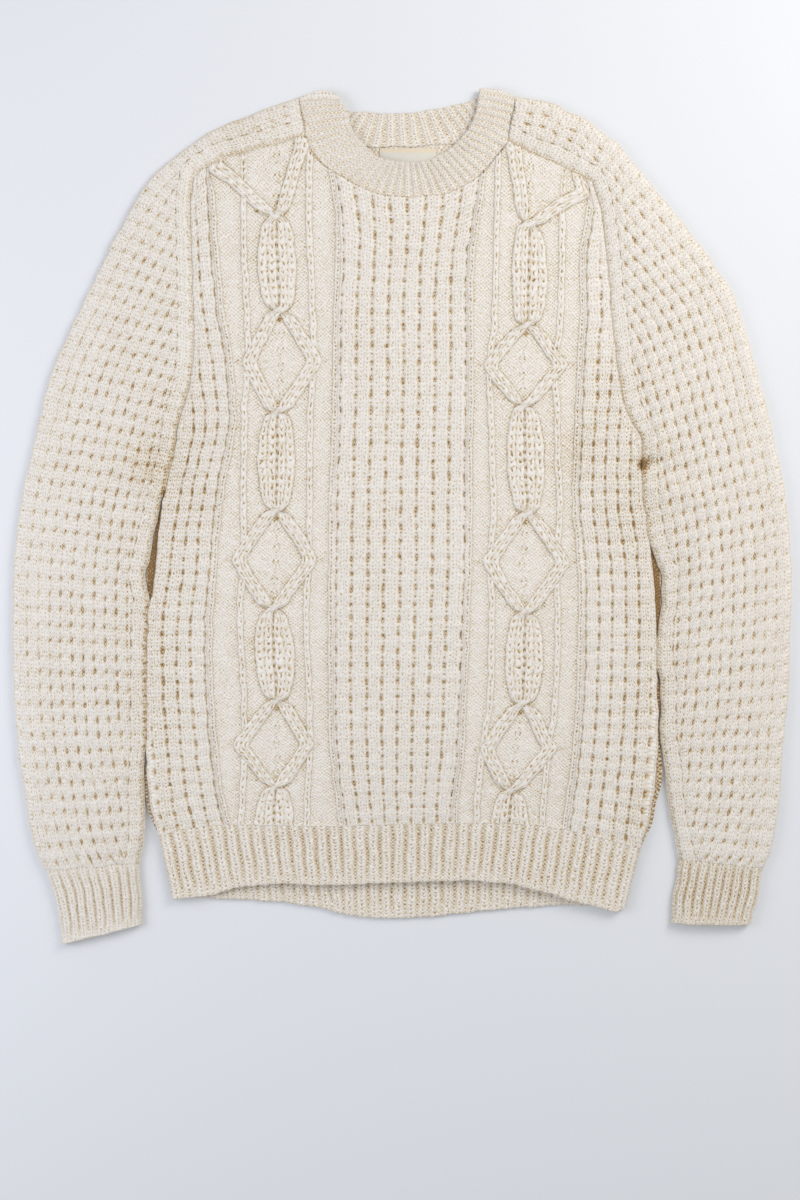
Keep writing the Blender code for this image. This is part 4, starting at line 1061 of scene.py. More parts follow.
# %% Side waffle and rolled edge
def side_strip(edge, border, side, gaps, wale, wales, seed):
    """The waffle from a cable's border out to the side, then the rolled or sewn edge."""
    columns = wale_columns(BODY_WALE, wales)
    wale = value(wale, LEVELS)[:, None]
    room = (side * (value(edge, LEVELS) - value(border, LEVELS)))[:, None]
    crowd = BESIDE_ROLL + SQUEEZE * (len(columns) - np.arange(len(columns)))
    free = columns[:, 0] * wale
    distance = np.minimum(free, room - crowd)
    fade = np.clip((room - crowd - free) / RUN_OUT, 0, 1)
    relief = EDGE_RELIEF + (waffle(columns, TURNS, seed, puffed=0.35) - EDGE_RELIEF) * fade
    across = np.interp(distance / wale, columns[:, 0], columns[:, 3])
    sewn = np.clip(1 - straight(gaps, LEVELS) / SEWN_GAP, 0, 1)[:, None]
    out = room - ROLL * (1 - np.sin(ROLL_TURNS))
    drop = (1 - sewn) * (1 - np.cos(ROLL_TURNS)) * FREE_DROP
    drop = drop + sewn * SEWN_DROP * np.sin(ROLL_TURNS) ** 3
    x = value(border, LEVELS)[:, None] + side * np.hstack([distance, out])
    relief = np.hstack([relief, EDGE_RELIEF * np.cos(ROLL_TURNS) - drop])
    across = np.hstack([across, across[:, -1:] + ROLL * (ROLL_TURNS + 0.1) * 3 / wale])
    kind = np.hstack([at_hole(columns[:, 0]) * fade, np.zeros_like(out)])
    # painted shade in the seam where the front is sewn to the sleeve, dotted at the seam's stitches
    ragged_shade = 0.28 + 0.26 * wobble(LEVELS[:, None], LEVELS[:, None], 13, seed + 70)
    ragged_shade = ragged_shade * straight(SEAM_SHADE_RIGHT if side > 0 else SEAM_SHADE_LEFT, LEVELS)[:, None]
    ladder = 0.5 + 0.5 * np.cos(math.tau * LEVELS / SEAM_PITCH)[:, None]
    # painted shade along the rows of holes and painted light on the puffed rows between
    row_shade = ROW_SHADE * fade * np.cos(math.tau * TURNS)[:, None]
    marks_and_shade = np.hstack([row_shade, sewn * ragged_shade * ladder * np.sin(ROLL_TURNS) ** 2])
    return x, relief, across, STITCHES * TURNS[:, None] + 0 * x, kind, marks_and_shade


def middle_strip():
    """The waffle between the two cables, from border to border."""
    columns = wale_columns(BODY_WALE, CENTRE_WALES)
    columns = np.vstack([columns, columns[0] + (CENTRE_WALES, 0, 0, 3 * CENTRE_WALES)])
    left = value(LEFT_CABLE.right_border, LEVELS)[:, None]
    right = value(RIGHT_CABLE.left_border, LEVELS)[:, None]
    x = left + columns[:, 0] / CENTRE_WALES * (right - left)
    relief = waffle(columns, TURNS, CENTRE_SEED)
    across, kind = columns[:, 3] + 0 * x, at_hole(columns[:, 0], 0.12) + 0 * x
    return x, relief, across, STITCHES * TURNS[:, None] + 0 * x, kind, 0 * x


# %% Shells of the front
HEM_CALM = 5.5  # height over which the pattern begins, above the hem rib
TOP_DROP, TOP_REACH = 0.6, 1.4  # how the cloth is drawn in under the neckband and the saddles
TOP_SHADE = 1.8  # height of the ragged painted shade there
THINNEST = 0.5  # least thickness of the cloth


def front_shell(name, x, relief, across, row, kind, marks_and_shade):
    y = cloth_y(x, LEVELS[:, None])
    low = UPPER + body_loft(x, LEVELS[:, None])
    puffs = uneven(x, y)
    tone = relief + puffs
    above_hem, below_top = (LEVELS - FOOT)[:, None], (HEAD - LEVELS)[:, None]
    relief = EDGE_RELIEF + (relief - EDGE_RELIEF) * np.clip(above_hem / HEM_CALM + 0.1, 0, 1) + puffs
    stitches = stitch_relief(across, row, kind) * spacing(x)
    drawn_in = TOP_DROP * bell(below_top, TOP_REACH)
    high = low + WALL + eased(relief) + stitches + crease(x, y) - drawn_in
    outer = np.stack([x, y, np.maximum(high, low + THINNEST)], axis=-1)
    inner = np.stack([x, y, low], axis=-1)[LINING_ROWS]
    # painted shade, ragged, where the cloth is drawn in under the neckband and the saddles
    ragged_shade = np.clip(0.06 + 0.3 * wobble(x, y, 9, 57), 0, 0.5) * bell(below_top, TOP_SHADE)
    # painted shade and light from the relief, darkened by the marks' shade, the folds and slopes, and
    # the drawn-in top
    depth = depth_of(tone, 3, 0.67, 3.8, walls=0.04) - marks_and_shade - painted_shade(x, y) - ragged_shade
    knit = np.stack([across, row, kind], axis=-1)
    return shell(name, "front_panel", "body_knit", outer, inner, LINING_ROWS, knit, depth)


def joined_strips(strips):
    return [np.hstack(pair) for pair in zip(*strips)]


parts = side_strip(
    LEFT_EDGE, LEFT_CABLE.left_border, -1, LEFT_GAPS, LEFT_WALE, LEFT_SIDE_WALES, LEFT_SEED
)
parts = [part[:, :0:-1] for part in parts]
strip = cable_strip(LEFT_CABLE, LEVELS, TURNS, {-1: (0, LEFT_SEED), 1: (0, CENTRE_SEED)})
front_left = front_shell("front_left_knit", *joined_strips([parts, strip]))
front_middle = front_shell("front_middle_knit", *middle_strip())
parts = side_strip(
    RIGHT_EDGE, RIGHT_CABLE.right_border, 1, RIGHT_GAPS, RIGHT_WALE, RIGHT_SIDE_WALES, RIGHT_SEED
)
parts = [part[:, 1:] for part in parts]
holes = {-1: (CENTRE_WALES, CENTRE_SEED), 1: (0, RIGHT_SEED)}
strip = cable_strip(RIGHT_CABLE, LEVELS, TURNS, holes)
front_right = front_shell("front_right_knit", *joined_strips([strip, parts]))

# %% [markdown]
# ## The back
#
# The back lies on the table, so it is flat underneath: only the holes and grooves of its waffle
# stand off the surface. Its inside shows above the label, within the neckband.

# %% Back panel
BACK_WALES, BACK_ROWS = 31, 4  # wales across, and rows of points to a repeat
BACK_PARTS = (
    (0.0, 0.9, -0.6, -0.5), (0.1, 1.1, 0.0, -0.15), (0.22, 2.0, 1.8, 0.25), (0.5, 1.5, 1.4, 1.0),
)
BACK_CREST = 2.2  # height of the pattern where it rests on the table
BACK_EDGE = 2.8  # height of the back's inside along its sides
EDGE_TURNS = np.radians((90, 55, 25))


def back_spread(gaps, level):
    """How far the back shows beyond the front's side, in the gap under the arm, as a strip in painted
    shade.
    """
    most = np.interp(level, (FOOT, -268, -245, -210), (0, 3.5, 4, 12))
    return np.clip(straight(gaps, level) - 0.5, 0, most)


def build_back():
    turn = np.arange(round(TURNS[0] * BACK_ROWS), round(TURNS[-1] * BACK_ROWS) - 1, -1) / BACK_ROWS
    level = np.interp(-turn, -TURNS, LEVELS)
    level = np.concatenate([[FOOT], level[(level > FOOT + 1) & (level < HEAD - 1)], [HEAD]])
    turn = np.interp(level, LEVELS, TURNS)
    left_edge = (value(LEFT_EDGE, level) - back_spread(LEFT_GAPS, level))[:, None]
    right_edge = (value(RIGHT_EDGE, level) + back_spread(RIGHT_GAPS, level))[:, None]
    columns = wale_columns(BACK_PARTS, BACK_WALES)
    rolled = ROLL * (1 - np.sin(EDGE_TURNS))
    spread = columns[:, 0] / BACK_WALES * (right_edge - left_edge - 2 * BESIDE_ROLL)
    left, right = left_edge + rolled, right_edge - rolled[::-1]
    x = np.hstack([left, left_edge + BESIDE_ROLL + spread, right])
    y = cloth_y(x, level[:, None], BACK_NECKLINE)
    lift = np.clip(BACK_CREST - waffle(columns, turn, 21), 0, 2.0) * 0.75
    rise = 2.7 * (1 - np.cos(EDGE_TURNS))
    z = np.hstack([rise + 0 * left, lift, rise[::-1] + 0 * right])
    ends = np.minimum(level - FOOT, HEAD - level)[:, None]
    z = np.maximum(z, 1.3 * bell(ends, 2.0))
    top = np.full_like(x, WALL)
    top[:, :2] = top[:, -2:] = BACK_EDGE
    z = np.minimum(z, top - 0.15)
    across = np.hstack([0 * left, columns[:, 3] + 0 * spread, 0 * right + 3 * BACK_WALES])
    row = STITCHES * np.broadcast_to(turn[:, None], x.shape)
    picks = np.unique(np.concatenate([np.arange(0, len(level), 5), [len(level) - 1]]))
    # painted shade on the back's top where it shows in the gap under the arm
    outside = np.maximum(value(LEFT_EDGE, level)[:, None] - x, x - value(RIGHT_EDGE, level)[:, None])
    shade = straight(BACK_SHADE, level)[:, None]
    shade = (0.45 - shade * np.clip(outside + 3, 0, 1))[picks]
    return shell(
        "back_knit", "back_panel", "body_knit", np.stack([x, y, z], axis=-1),
        np.stack([x, y, top], axis=-1)[picks], picks, np.stack([across, row, 0 * x], axis=-1),
        depth_of(-z, 3, 0.61, 3.4), lining_depth=shade,
    )


back = build_back()

# %% [markdown]
# ## Sleeves
#
# Each sleeve is a tube pressed flat, and its saddle is knitted on in one piece: it runs over the
# shoulder to the neckband. The wales run beside the outer fold and end one after the other in the
# armhole seam. Rows of points are spread evenly along the middle of the sleeve.

# %% Flattened tubes
FOLD_TURNS = np.radians((-65, -40, -15, 10, 35, 60))
SEAM_TURNS = np.radians((80, 45, 0, -45, -80))
LINING_INSET, LINING_MARGIN = 2.2, 3.2  # how far the space inside stays from the fold and the seam
LINING_HALF = 0.25  # half the height of that space at its two sides


def across_tube(fold, seam):
    """Width of a tube in each row, and the direction from its fold to its seam."""
    width = np.hypot(*(seam - fold).T)[:, None]
    return width, (seam - fold) / width


def tube_points(fold, seam, distance, height):
    """Points of a tube's columns, at distances from its fold and at heights."""
    direction = across_tube(fold, seam)[1]
    flat = fold[:, None, :] + direction[:, None, :] * distance[..., None]
    return np.dstack([flat, height])


def tube_lining(fold, seam, around, distance, ends, beneath, upper, lower):
    """The inner face of a tube, under the same columns as its outer face."""
    at_fold, at_seam = (
        MIDDLE + LINING_HALF * np.sin(turns) + 0 * ends[:, :1] for turns in (FOLD_TURNS, SEAM_TURNS)
    )
    distances = [
        around * 0.35 + LINING_INSET, np.clip(distance, LINING_MARGIN, None),
        ends - LINING_INSET, beneath,
    ]
    heights = [at_fold, upper, at_seam, np.full_like(beneath, lower)]
    return tube_points(fold, seam, np.hstack(distances), np.hstack(heights))


# %% Course of a sleeve
SLEEVE_STEP = 1.75  # distance between rows of points
FOLD_SHARE = 0.55  # where the middle of a sleeve lies: this near to its fold


def sleeve_stations(sleeve, shoulder, edge, gaps, side):
    """Points of the fold and of the seam, from the neck over the shoulder to the wrist."""
    share = np.linspace(0, 1, 400)
    near = path(shoulder[::side])
    saddle = np.column_stack([np.interp(share, near[:, 0], near[:, k]) for k in (1, 2)])
    saddle[:, 1] += SEAM
    level = HEAD + (PIT - HEAD) * share
    x = value(edge, level)
    lift = SEAM * np.clip((level - HEAD + 12) / 12, 0, 1)
    cap = np.column_stack([x + side * SEAM, cloth_y(x, level) + lift])
    arm = along(path(sleeve.arm_seam), share)
    gap = straight(gaps, arm[:, 1])
    beside_body = np.clip((arm[:, 1] + 228) / 20, 0, 1)
    touching = value(edge, np.clip(arm[:, 1], -230, PIT)) + side * (SEAM + gap)
    arm[:, 0] += beside_body * (touching - arm[:, 0])
    meeting = beside_body * np.clip(1 - gap / SEWN_GAP, 0, 1)
    fold = np.vstack([along(path(points), share) for points in sleeve[:3]])
    seam = np.vstack([saddle, cap, arm])
    joined = np.concatenate([np.ones(2 * len(share)), meeting])
    length = run_of(FOLD_SHARE * fold + (1 - FOLD_SHARE) * seam)
    spots = np.linspace(0, length[-1], round(length[-1] / SLEEVE_STEP))
    even = [np.interp(spots, length, column) for column in (*fold.T, *seam.T, joined)]
    return spots, np.column_stack(even[:2]), np.column_stack(even[2:4]), even[4][:, None]


# %% Upper layer of a sleeve
SLEEVE_WALES = 12
SEAM_SIDE, SEAM_WALE = 3.4, 11.5  # the rolled seam, and the wale that runs along it
WAFFLE_START = ROLL + 1.5  # distance from the fold to the first wale


def sleeve_waffle(width, turn, fold, side, seed):
    """Its columns: distance from the fold, relief, columns counted and kind of stitch."""
    columns, beside = wale_columns(SLEEVE_PARTS, SLEEVE_WALES), wale_columns(SLEEVE_PARTS, 1)
    place = columns[:, 0]
    free = WAFFLE_START + place * SLEEVE_WALE
    limit = width - SEAM_SIDE - SEAM_WALE - SQUEEZE * (len(columns) - np.arange(len(columns)))
    distance = np.minimum(free, limit)
    fade = np.clip((limit - free) / RUN_OUT, 0, 1)
    stretched = np.exp(-(((fold[:, 1:] - 150) / 75) ** 4)) * np.clip(1.25 - place / 3, 0, 1)
    pattern = waffle(columns, turn, seed, -0.45 * side, 0.8 * stretched, puffed=0.5)
    relief = EDGE_RELIEF + (pattern - EDGE_RELIEF) * fade * np.interp(place, (0, 4), (0.5, 1))
    counted = np.interp((distance - WAFFLE_START) / SLEEVE_WALE, place, columns[:, 3])
    last = width - SEAM_SIDE - SEAM_WALE * (1 - beside[:, 0])
    last_relief = EDGE_RELIEF + 0.6 * (waffle(beside, turn, seed + 1) - EDGE_RELIEF)
    last_counted = beside[:, 3] + 60 + 0 * last
    kind = np.hstack([at_hole(place) * fade, at_hole(beside[:, 0]) + 0 * last])
    joined = [np.hstack(pair) for pair in (
        (distance, last), (relief, last_relief), (counted, last_counted)
    )]
    return *joined, kind


# %% Sleeve shells
SEWN_INSETS = np.array((2.0, 0.9, 0.0, 0.4, 1.3))  # the seam's five columns where it is sewn on
SEWN_HEIGHTS = np.array((7.5, 7.0, 6.3, 1.0, 0.1))
SEAM_COLUMN = 3.8  # one knit column on the rolled seam
FOLD_TAPER, SEAM_TAPER, TAPER_REACH = 2.3, 0.9, 7.0  # how the wrist draws in to its cuff
UNDER_COLUMNS = 12  # columns of points on the underside
END_CALM, END_REACH = 0.55, 2.6  # how the pattern flattens at the neck and at the wrist
FOLD_BUMPS = 0.45  # how far the rows of stitches stand out of the fold


def seam_shade(y, side, seed):
    """How dark the seam's painted shade is along its length, stitch by stitch."""
    ragged_shade = 0.26 + 0.2 * wobble(y, y, 13, seed + 70)
    if side > 0:
        ragged_shade = ragged_shade * np.clip((y + 60) / 120, 0.3, 0.8)
    else:
        ragged_shade = ragged_shade + straight(SEAM_SHADE_SLEEVE, y)
    return ragged_shade * (0.55 + 0.45 * np.cos(math.tau * y / SEAM_PITCH))


def build_sleeve(name, sleeve, shoulder, edge, gaps, side, seed):
    spots, fold, seam, joined = sleeve_stations(sleeve, shoulder, edge, gaps, side)
    drawn_in = bell(spots[-1] - spots, TAPER_REACH)[:, None] * across_tube(fold, seam)[1]
    fold, seam = fold + FOLD_TAPER * drawn_in, seam - SEAM_TAPER * drawn_in
    width = across_tube(fold, seam)[0]
    turn = spots / SLEEVE_REPEAT
    distance, relief, counted, kinds = sleeve_waffle(width, turn, fold, side, seed)

    around = ROLL * (1 - np.cos(FOLD_TURNS)) + 0 * width
    swing = np.sin(SEAM_TURNS)
    rolled = MIDDLE + np.where(swing > 0, UPPER + WALL - 0.3 - MIDDLE, MIDDLE) * swing
    inset = ROLL * (1 - np.cos(SEAM_TURNS))
    ends = width - inset - joined * (SEWN_INSETS - inset)
    beneath = ROLL + np.linspace(1, 0, UNDER_COLUMNS) * (width - 2 * ROLL)
    puff = LOFT * np.sin(math.pi * np.clip(distance / width, 0, 1))
    height = np.hstack([
        MIDDLE + MIDDLE * np.sin(FOLD_TURNS) + 0 * width, UPPER + puff + WALL,
        rolled + joined * (SEWN_HEIGHTS - rolled), 0 * beneath,
    ])
    flat = tube_points(fold, seam, np.hstack([around, distance, ends, beneath]), height)
    x, y = flat[..., 0], flat[..., 1]

    first = len(FOLD_TURNS)
    top = slice(first, first + distance.shape[1])
    sewn = slice(top.stop, top.stop + len(SEAM_TURNS))
    lifted, across, kind, soft = (np.zeros_like(x) for _ in range(4))
    soft[:, top] = 1
    lifted[:, top] = relief
    across[:, :first] = np.linspace(-2.4, -0.9, first)
    across[:, top] = counted
    across[:, sewn] = counted[:, -1:] + (ends - distance[:, -1:]) / SEAM_COLUMN
    across[:, sewn.stop :] = across[:, sewn.stop - 1 : sewn.stop]
    kind[:, top] = kinds
    kind[:, sewn.stop - 2 :] = 1
    row = STITCHES * np.broadcast_to(turn[:, None], x.shape)
    spread = spacing(np.hypot(x - x[:, :1], y - y[:, :1]))
    bumps = FOLD_BUMPS * np.cos(math.tau * row[:, :first]) * np.sin(FOLD_TURNS + math.pi / 2)
    x[:, :first] += bumps * side
    lifted = (lifted + uneven(x, y)) * soft
    near_end = np.minimum(spots, spots[-1] - spots)[:, None]
    full = soft * (1 - END_CALM * bell(near_end, END_REACH))
    z = height + eased(lifted) * full + stitch_relief(across, row, kind) * soft * spread
    z = z + crease(x, y) * soft * np.clip(height - UPPER, 0, 1)
    outer = np.stack([x, y, np.maximum(z, 0)], axis=-1)

    picks = np.linspace(0, len(spots) - 1, 40).round().astype(int)
    inner = tube_lining(
        fold, seam, around, distance, ends, beneath, UPPER + puff, WALL - 0.1
    )[picks]
    near_seam = np.clip(1.6 - np.abs(np.arange(x.shape[1]) - top.stop - 1) * 0.8, 0, 1)
    depth = depth_of(lifted, 3, 0.68, 4.6, walls=0.04)
    # painted shade in the seam where the sleeve is sewn on, dotted at its stitches
    depth = depth - joined * near_seam * seam_shade(y, side, seed)
    # painted shade along the rows of holes and painted light on the puffed rows between
    depth = depth - 1.2 * ROW_SHADE * np.cos(math.tau * turn)[:, None] * soft
    # painted shade of folds and of the slopes under the arms, on the upper layer only
    depth = depth - painted_shade(x, y) * np.clip(height / UPPER, 0, 1)
    knit = np.stack([across, row, kind], axis=-1)
    piece = shell(name + "_knit", name, "body_knit", outer, inner, picks, knit, depth, ring=True)


build_sleeve("left_sleeve", LEFT_SLEEVE, LEFT_SHOULDER, LEFT_EDGE, LEFT_GAPS, -1, 31)
build_sleeve("right_sleeve", RIGHT_SLEEVE, RIGHT_SHOULDER, RIGHT_EDGE, RIGHT_GAPS, 1, 37)

# %% [markdown]
# ## Ribs
#
# A rib is one knit column, which stands up, and one purl column, which sinks in. The hem, the
# cuffs and the neckband are all knitted so. The hem and the cuffs use one little table for half a
# rib, from the purl valley to the middle of the knit column. At a free edge the cloth rounds off
# and the valleys draw in a little.

# %% Rib columns
RIB_STEP = 1.3  # distance between rows of points
RIB_ROWS = 12.5  # height of four rows of stitches in a rib
HALF_RIB = (  # share of a rib, height from valley to crest, kind of stitch, knit columns counted
    (0.0, 0.0, 1.0, -0.5), (0.11, 0.06, 1.0, -0.2), (0.19, 0.45, 0.4, 0.02), (0.26, 0.92, 0.0, 0.14),
    (0.37, 1.0, 0.0, 0.28), (0.5, 0.76, 0.0, 0.5),
)
EDGE_ROUND = np.radians((20, 40, 60, 78))
EDGE_RADIUS = 1.5


def rib_columns(ribs):
    half = np.array(HALF_RIB)
    mirrored = half[-2:0:-1] * (-1, 1, 1, -1) + (1, 0, 0, 1)
    whole = np.vstack([half, mirrored])
    rows = [whole + (rib, 0, 0, 2 * rib) for rib in range(ribs)]
    return np.vstack([*rows, half[:1] + (ribs, 0, 0, 2 * ribs)])


def rib_height(columns, share, narrowing):
    """Height of the ribs: softly begun, then narrower valleys, closing up at the free edge."""
    strength = np.interp(share, (0, 0.1, 0.22, 0.6, 0.86, 0.93, 1), (0.4, 0.8, 1, 1, 0.7, 0.35, 0.1))
    valleys = (1 - columns[:, 1]) ** (1 + narrowing * share)
    return HEM_CREST - (HEM_CREST - HEM_VALLEY) * valleys * strength


def with_edge(grid):
    """A grid with its last row once more for each row of the rounded edge."""
    return np.concatenate([grid, np.repeat(grid[-1:], len(EDGE_ROUND), axis=0)])


def rounded(outer, inner, forward):
    """A grid with more rows at its end, which turn its outer face over towards its inner one."""
    last = outer[-1]
    rows = [
        last + (inner[-1] - last) * 0.5 * (1 - math.cos(turn)) + forward * EDGE_RADIUS * math.sin(turn)
        for turn in EDGE_ROUND
    ]
    return np.concatenate([outer, np.stack(rows)])


# %% Hem ribs
HEM_ROLL = ROLL / 215  # width of the hem's rounded sides, as a share of half its width


def build_hem(name, edge, front):
    columns = rib_columns(HEM_RIBS)
    share = columns[:, 0] / HEM_RIBS
    into_roll = ((np.abs(2 * share - 1) - (1 - HEM_ROLL)) / HEM_ROLL).clip(0)
    bulk = np.clip(1 - into_roll**2, 0, 1) ** 0.5
    top_x = HEM_LINE[0][0] + share * (HEM_LINE[-1][0] - HEM_LINE[0][0])
    low_x = edge[0][0] + share * (edge[-1][0] - edge[0][0])
    top_y, low_y = value(HEM_LINE, top_x) - SEAM, value(edge, low_x)
    low_y = low_y + 0.5 * (1 - columns[:, 1])
    length = float(np.mean(top_y - low_y))
    drop = np.linspace(0, 1, round(length / RIB_STEP))[:, None]
    x, y = top_x + drop * (low_x - top_x), top_y + drop * (low_y - top_y)
    across = (2 * share - 1) ** 4
    rib = rib_height(columns, drop, 2.2)
    if front:
        low = UPPER + (1 - across) * (LOFT * (1 - drop) + HEM_ARCH * drop)
        high = low + WALL + rib
        high = MIDDLE + 0.6 + (high - MIDDLE - 0.6) * bulk
        low = np.minimum(low, high - 0.4)
    else:
        low = 0.9 * (1 - bulk) + 0.25 * (1 - columns[:, 1]) + 0 * x
        high = WALL - 0.1 + 0.6 * rib * (1 - across) - 0.3 * (1 - bulk)
    upper, lower = np.stack([x, y, high], axis=-1), np.stack([x, y, low], axis=-1)
    forward = np.column_stack([low_x - top_x, low_y - top_y, 0 * low_x])
    forward /= np.linalg.norm(forward, axis=1)[:, None]
    outer = rounded(upper, lower, forward)
    rows = len(outer)
    row = STITCHES * (drop[:, 0] * length) / RIB_ROWS
    row = np.concatenate([row, row[-1] + 0.35 * np.arange(1, 1 + len(EDGE_ROUND))])
    kinds, counts, row = (
        np.broadcast_to(part, outer.shape[:2]) for part in (columns[:, 2], columns[:, 3], row[:, None])
    )
    outer[..., 2] += stitch_relief(counts, row, kinds) * (1 if front else 0.5)
    picks = np.unique(np.linspace(0, rows - 1, 6).round().astype(int))
    inner = with_edge(lower)[picks]
    inner[-1] = lower[-1] + forward + (0, 0, 0.5)
    # painted shade: the hems are drawn darker, the back one more as it lies in the front hem's shade
    depth = depth_of(with_edge(rib), 4, 0.66, 5.8) - (0.15 if front else 0.2)
    if front:
        # painted shade in the rib valleys where they begin under the front's lowest row
        begun = bell(drop * length - 2.6, 1.8) * (0.5 + 0.5 * wobble(x, x, 30, 58))
        depth[: len(drop)] -= 0.2 * begun * (1 - columns[:, 1])
    knit = np.stack([counts, row, kinds], axis=-1)
    picks = (rows - 1 - picks)[::-1]
    piece = shell(
        name + "_knit", name, "rib_knit", outer[::-1], inner[::-1], picks, knit[::-1], depth[::-1]
    )


build_hem("front_hem_rib", FRONT_HEM_EDGE, True)
build_hem("back_hem_rib", BACK_HEM_EDGE, False)

# %% Cuffs
CUFF_TUCK = 0.5  # the cuff's first row moves up to the sleeve's end
CUFF_ROLL = 0.8 * ROLL  # a cuff is turned over more tightly than a sleeve
CUFF_INSET = 2.6  # distance of the ribs from the fold and from the seam


def build_cuff(name, cuff, shade):
    length = float(run_of(cuff.fold)[-1])
    share = np.linspace(0, 1, round(length / RIB_STEP))
    fold, seam = along(path(cuff.fold), share), along(path(cuff.seam), share)
    for line in (fold, seam):
        line[0] -= CUFF_TUCK * (line[1] - line[0]) / np.hypot(*(line[1] - line[0]))
    width = across_tube(fold, seam)[0]
    columns = rib_columns(CUFF_RIBS)[1:-1]
    rib = rib_height(columns, share[:, None], 1.6)
    distance = CUFF_INSET + columns[:, 0] / CUFF_RIBS * (width - 2 * CUFF_INSET)
    upper = UPPER + LOFT * np.sin(math.pi * distance / width)
    around = CUFF_ROLL * (1 - np.cos(FOLD_TURNS)) + 0 * width
    ends = width - CUFF_ROLL * (1 - np.cos(SEAM_TURNS))
    turned = [MIDDLE + (MIDDLE - 0.3) * np.sin(turns) + 0 * width for turns in (FOLD_TURNS, SEAM_TURNS)]
    under = np.linspace(1, 0, 4 * CUFF_RIBS + 1)
    beneath = ROLL + under * (width - 2 * ROLL)
    groove = 0.5 * (0.5 + 0.5 * np.cos(math.tau * under * CUFF_RIBS)) + 0 * width
    height = np.hstack([turned[0], upper + WALL + rib, turned[1], groove])
    outer = tube_points(fold, seam, np.hstack([around, distance, ends, beneath]), height)
    inside = tube_lining(fold, seam, around, distance, ends, beneath, upper, WALL - 0.2)
    forward = outer[-1] - outer[-2]
    forward[:, 2] = 0
    forward /= np.linalg.norm(forward, axis=1)[:, None]
    outer = rounded(outer, inside, forward)

    first = len(FOLD_TURNS)
    top = slice(first, first + len(columns))
    relief = np.full(outer.shape[:2], 0.6)
    kinds, counts = np.zeros((2, *outer.shape[:2]))
    relief[:, top] = with_edge(rib)
    kinds[:, top] = columns[:, 2]
    counts[:, :first] = np.linspace(-1.0, 0.2, first)
    counts[:, top] = columns[:, 3]
    counts[:, top.stop :] = 2 * CUFF_RIBS + 0.5 * np.arange(outer.shape[1] - top.stop)
    row = STITCHES * np.arange(len(outer)) * RIB_STEP / RIB_ROWS
    row = np.broadcast_to(row[:, None], kinds.shape)
    outer[:, top, 2] += stitch_relief(counts, row, kinds)[:, top]
    picks = np.unique(np.linspace(0, len(outer) - 1, 8).round().astype(int))
    inside = with_edge(inside)
    inside[-1] += forward * 0.9
    # painted shade: each cuff is drawn darker by its own share, the right one most
    depth = depth_of(relief, 4, 0.68, 5.6) - shade
    knit = np.stack([counts, row, kinds], axis=-1)
    piece = shell(
        name + "_knit", name, "rib_knit", outer, inside[picks], picks, knit, depth, ring=True
    )


build_cuff("left_cuff", LEFT_CUFF, 0.06)
build_cuff("right_cuff", RIGHT_CUFF, 0.26)

# %% [markdown]
# ## Neckband
#
# The neckband is a ribbed tube round the neck opening, doubled over, so it is thicker than the
# rest. Lying flat it folds at both shoulders: its front half faces up, and of its back half only
# the inside shows. One ring of sections goes all the way round, and tilts over at each fold.

# %% Neckband sections
NECK_STEPS = 10  # columns of points to a rib
FOLD_RIBS = 2  # ribs over which the ring tilts at a fold
INSIDE_SHARES = np.array((1.0, 0.8, 0.6, 0.4, 0.22, 0.17, 0.12, 0.06, 0.0))
EDGE_ARC = np.radians(np.linspace(22, 158, 7))  # round the free edge
OUTSIDE = 22  # points of a section on its outer face
NECK_EDGE = 1.3  # radius of the free edge
NECK_ROWS = 11.0  # rows of stitches from the seam to the free edge
DENT, DENT_WIDTH = 0.35, 0.07  # the groove up the middle of a knit column
BOUND = 0.19  # share of the inside that is bound off with two ridges

# A section's points: share of the way to the free edge, outer or inner face, past the edge
NECK_SHARES = np.concatenate([np.linspace(0, 1, OUTSIDE), np.ones(len(EDGE_ARC)), INSIDE_SHARES])
NECK_SIDE = np.concatenate([np.ones(OUTSIDE), np.cos(EDGE_ARC), -np.ones(len(INSIDE_SHARES))])
NECK_OUT = np.concatenate([np.zeros(OUTSIDE), np.sin(EDGE_ARC), np.zeros(len(INSIDE_SHARES))])


def neck_rows(rows, ribs):
    rows = np.array(rows, float)
    middles = (rows[:, :2] + rows[:, 2:]) / 2
    keyed = np.column_stack([path(middles)[:, 0], rows])
    return along(keyed, np.linspace(0, 1, NECK_STEPS * ribs + 1))


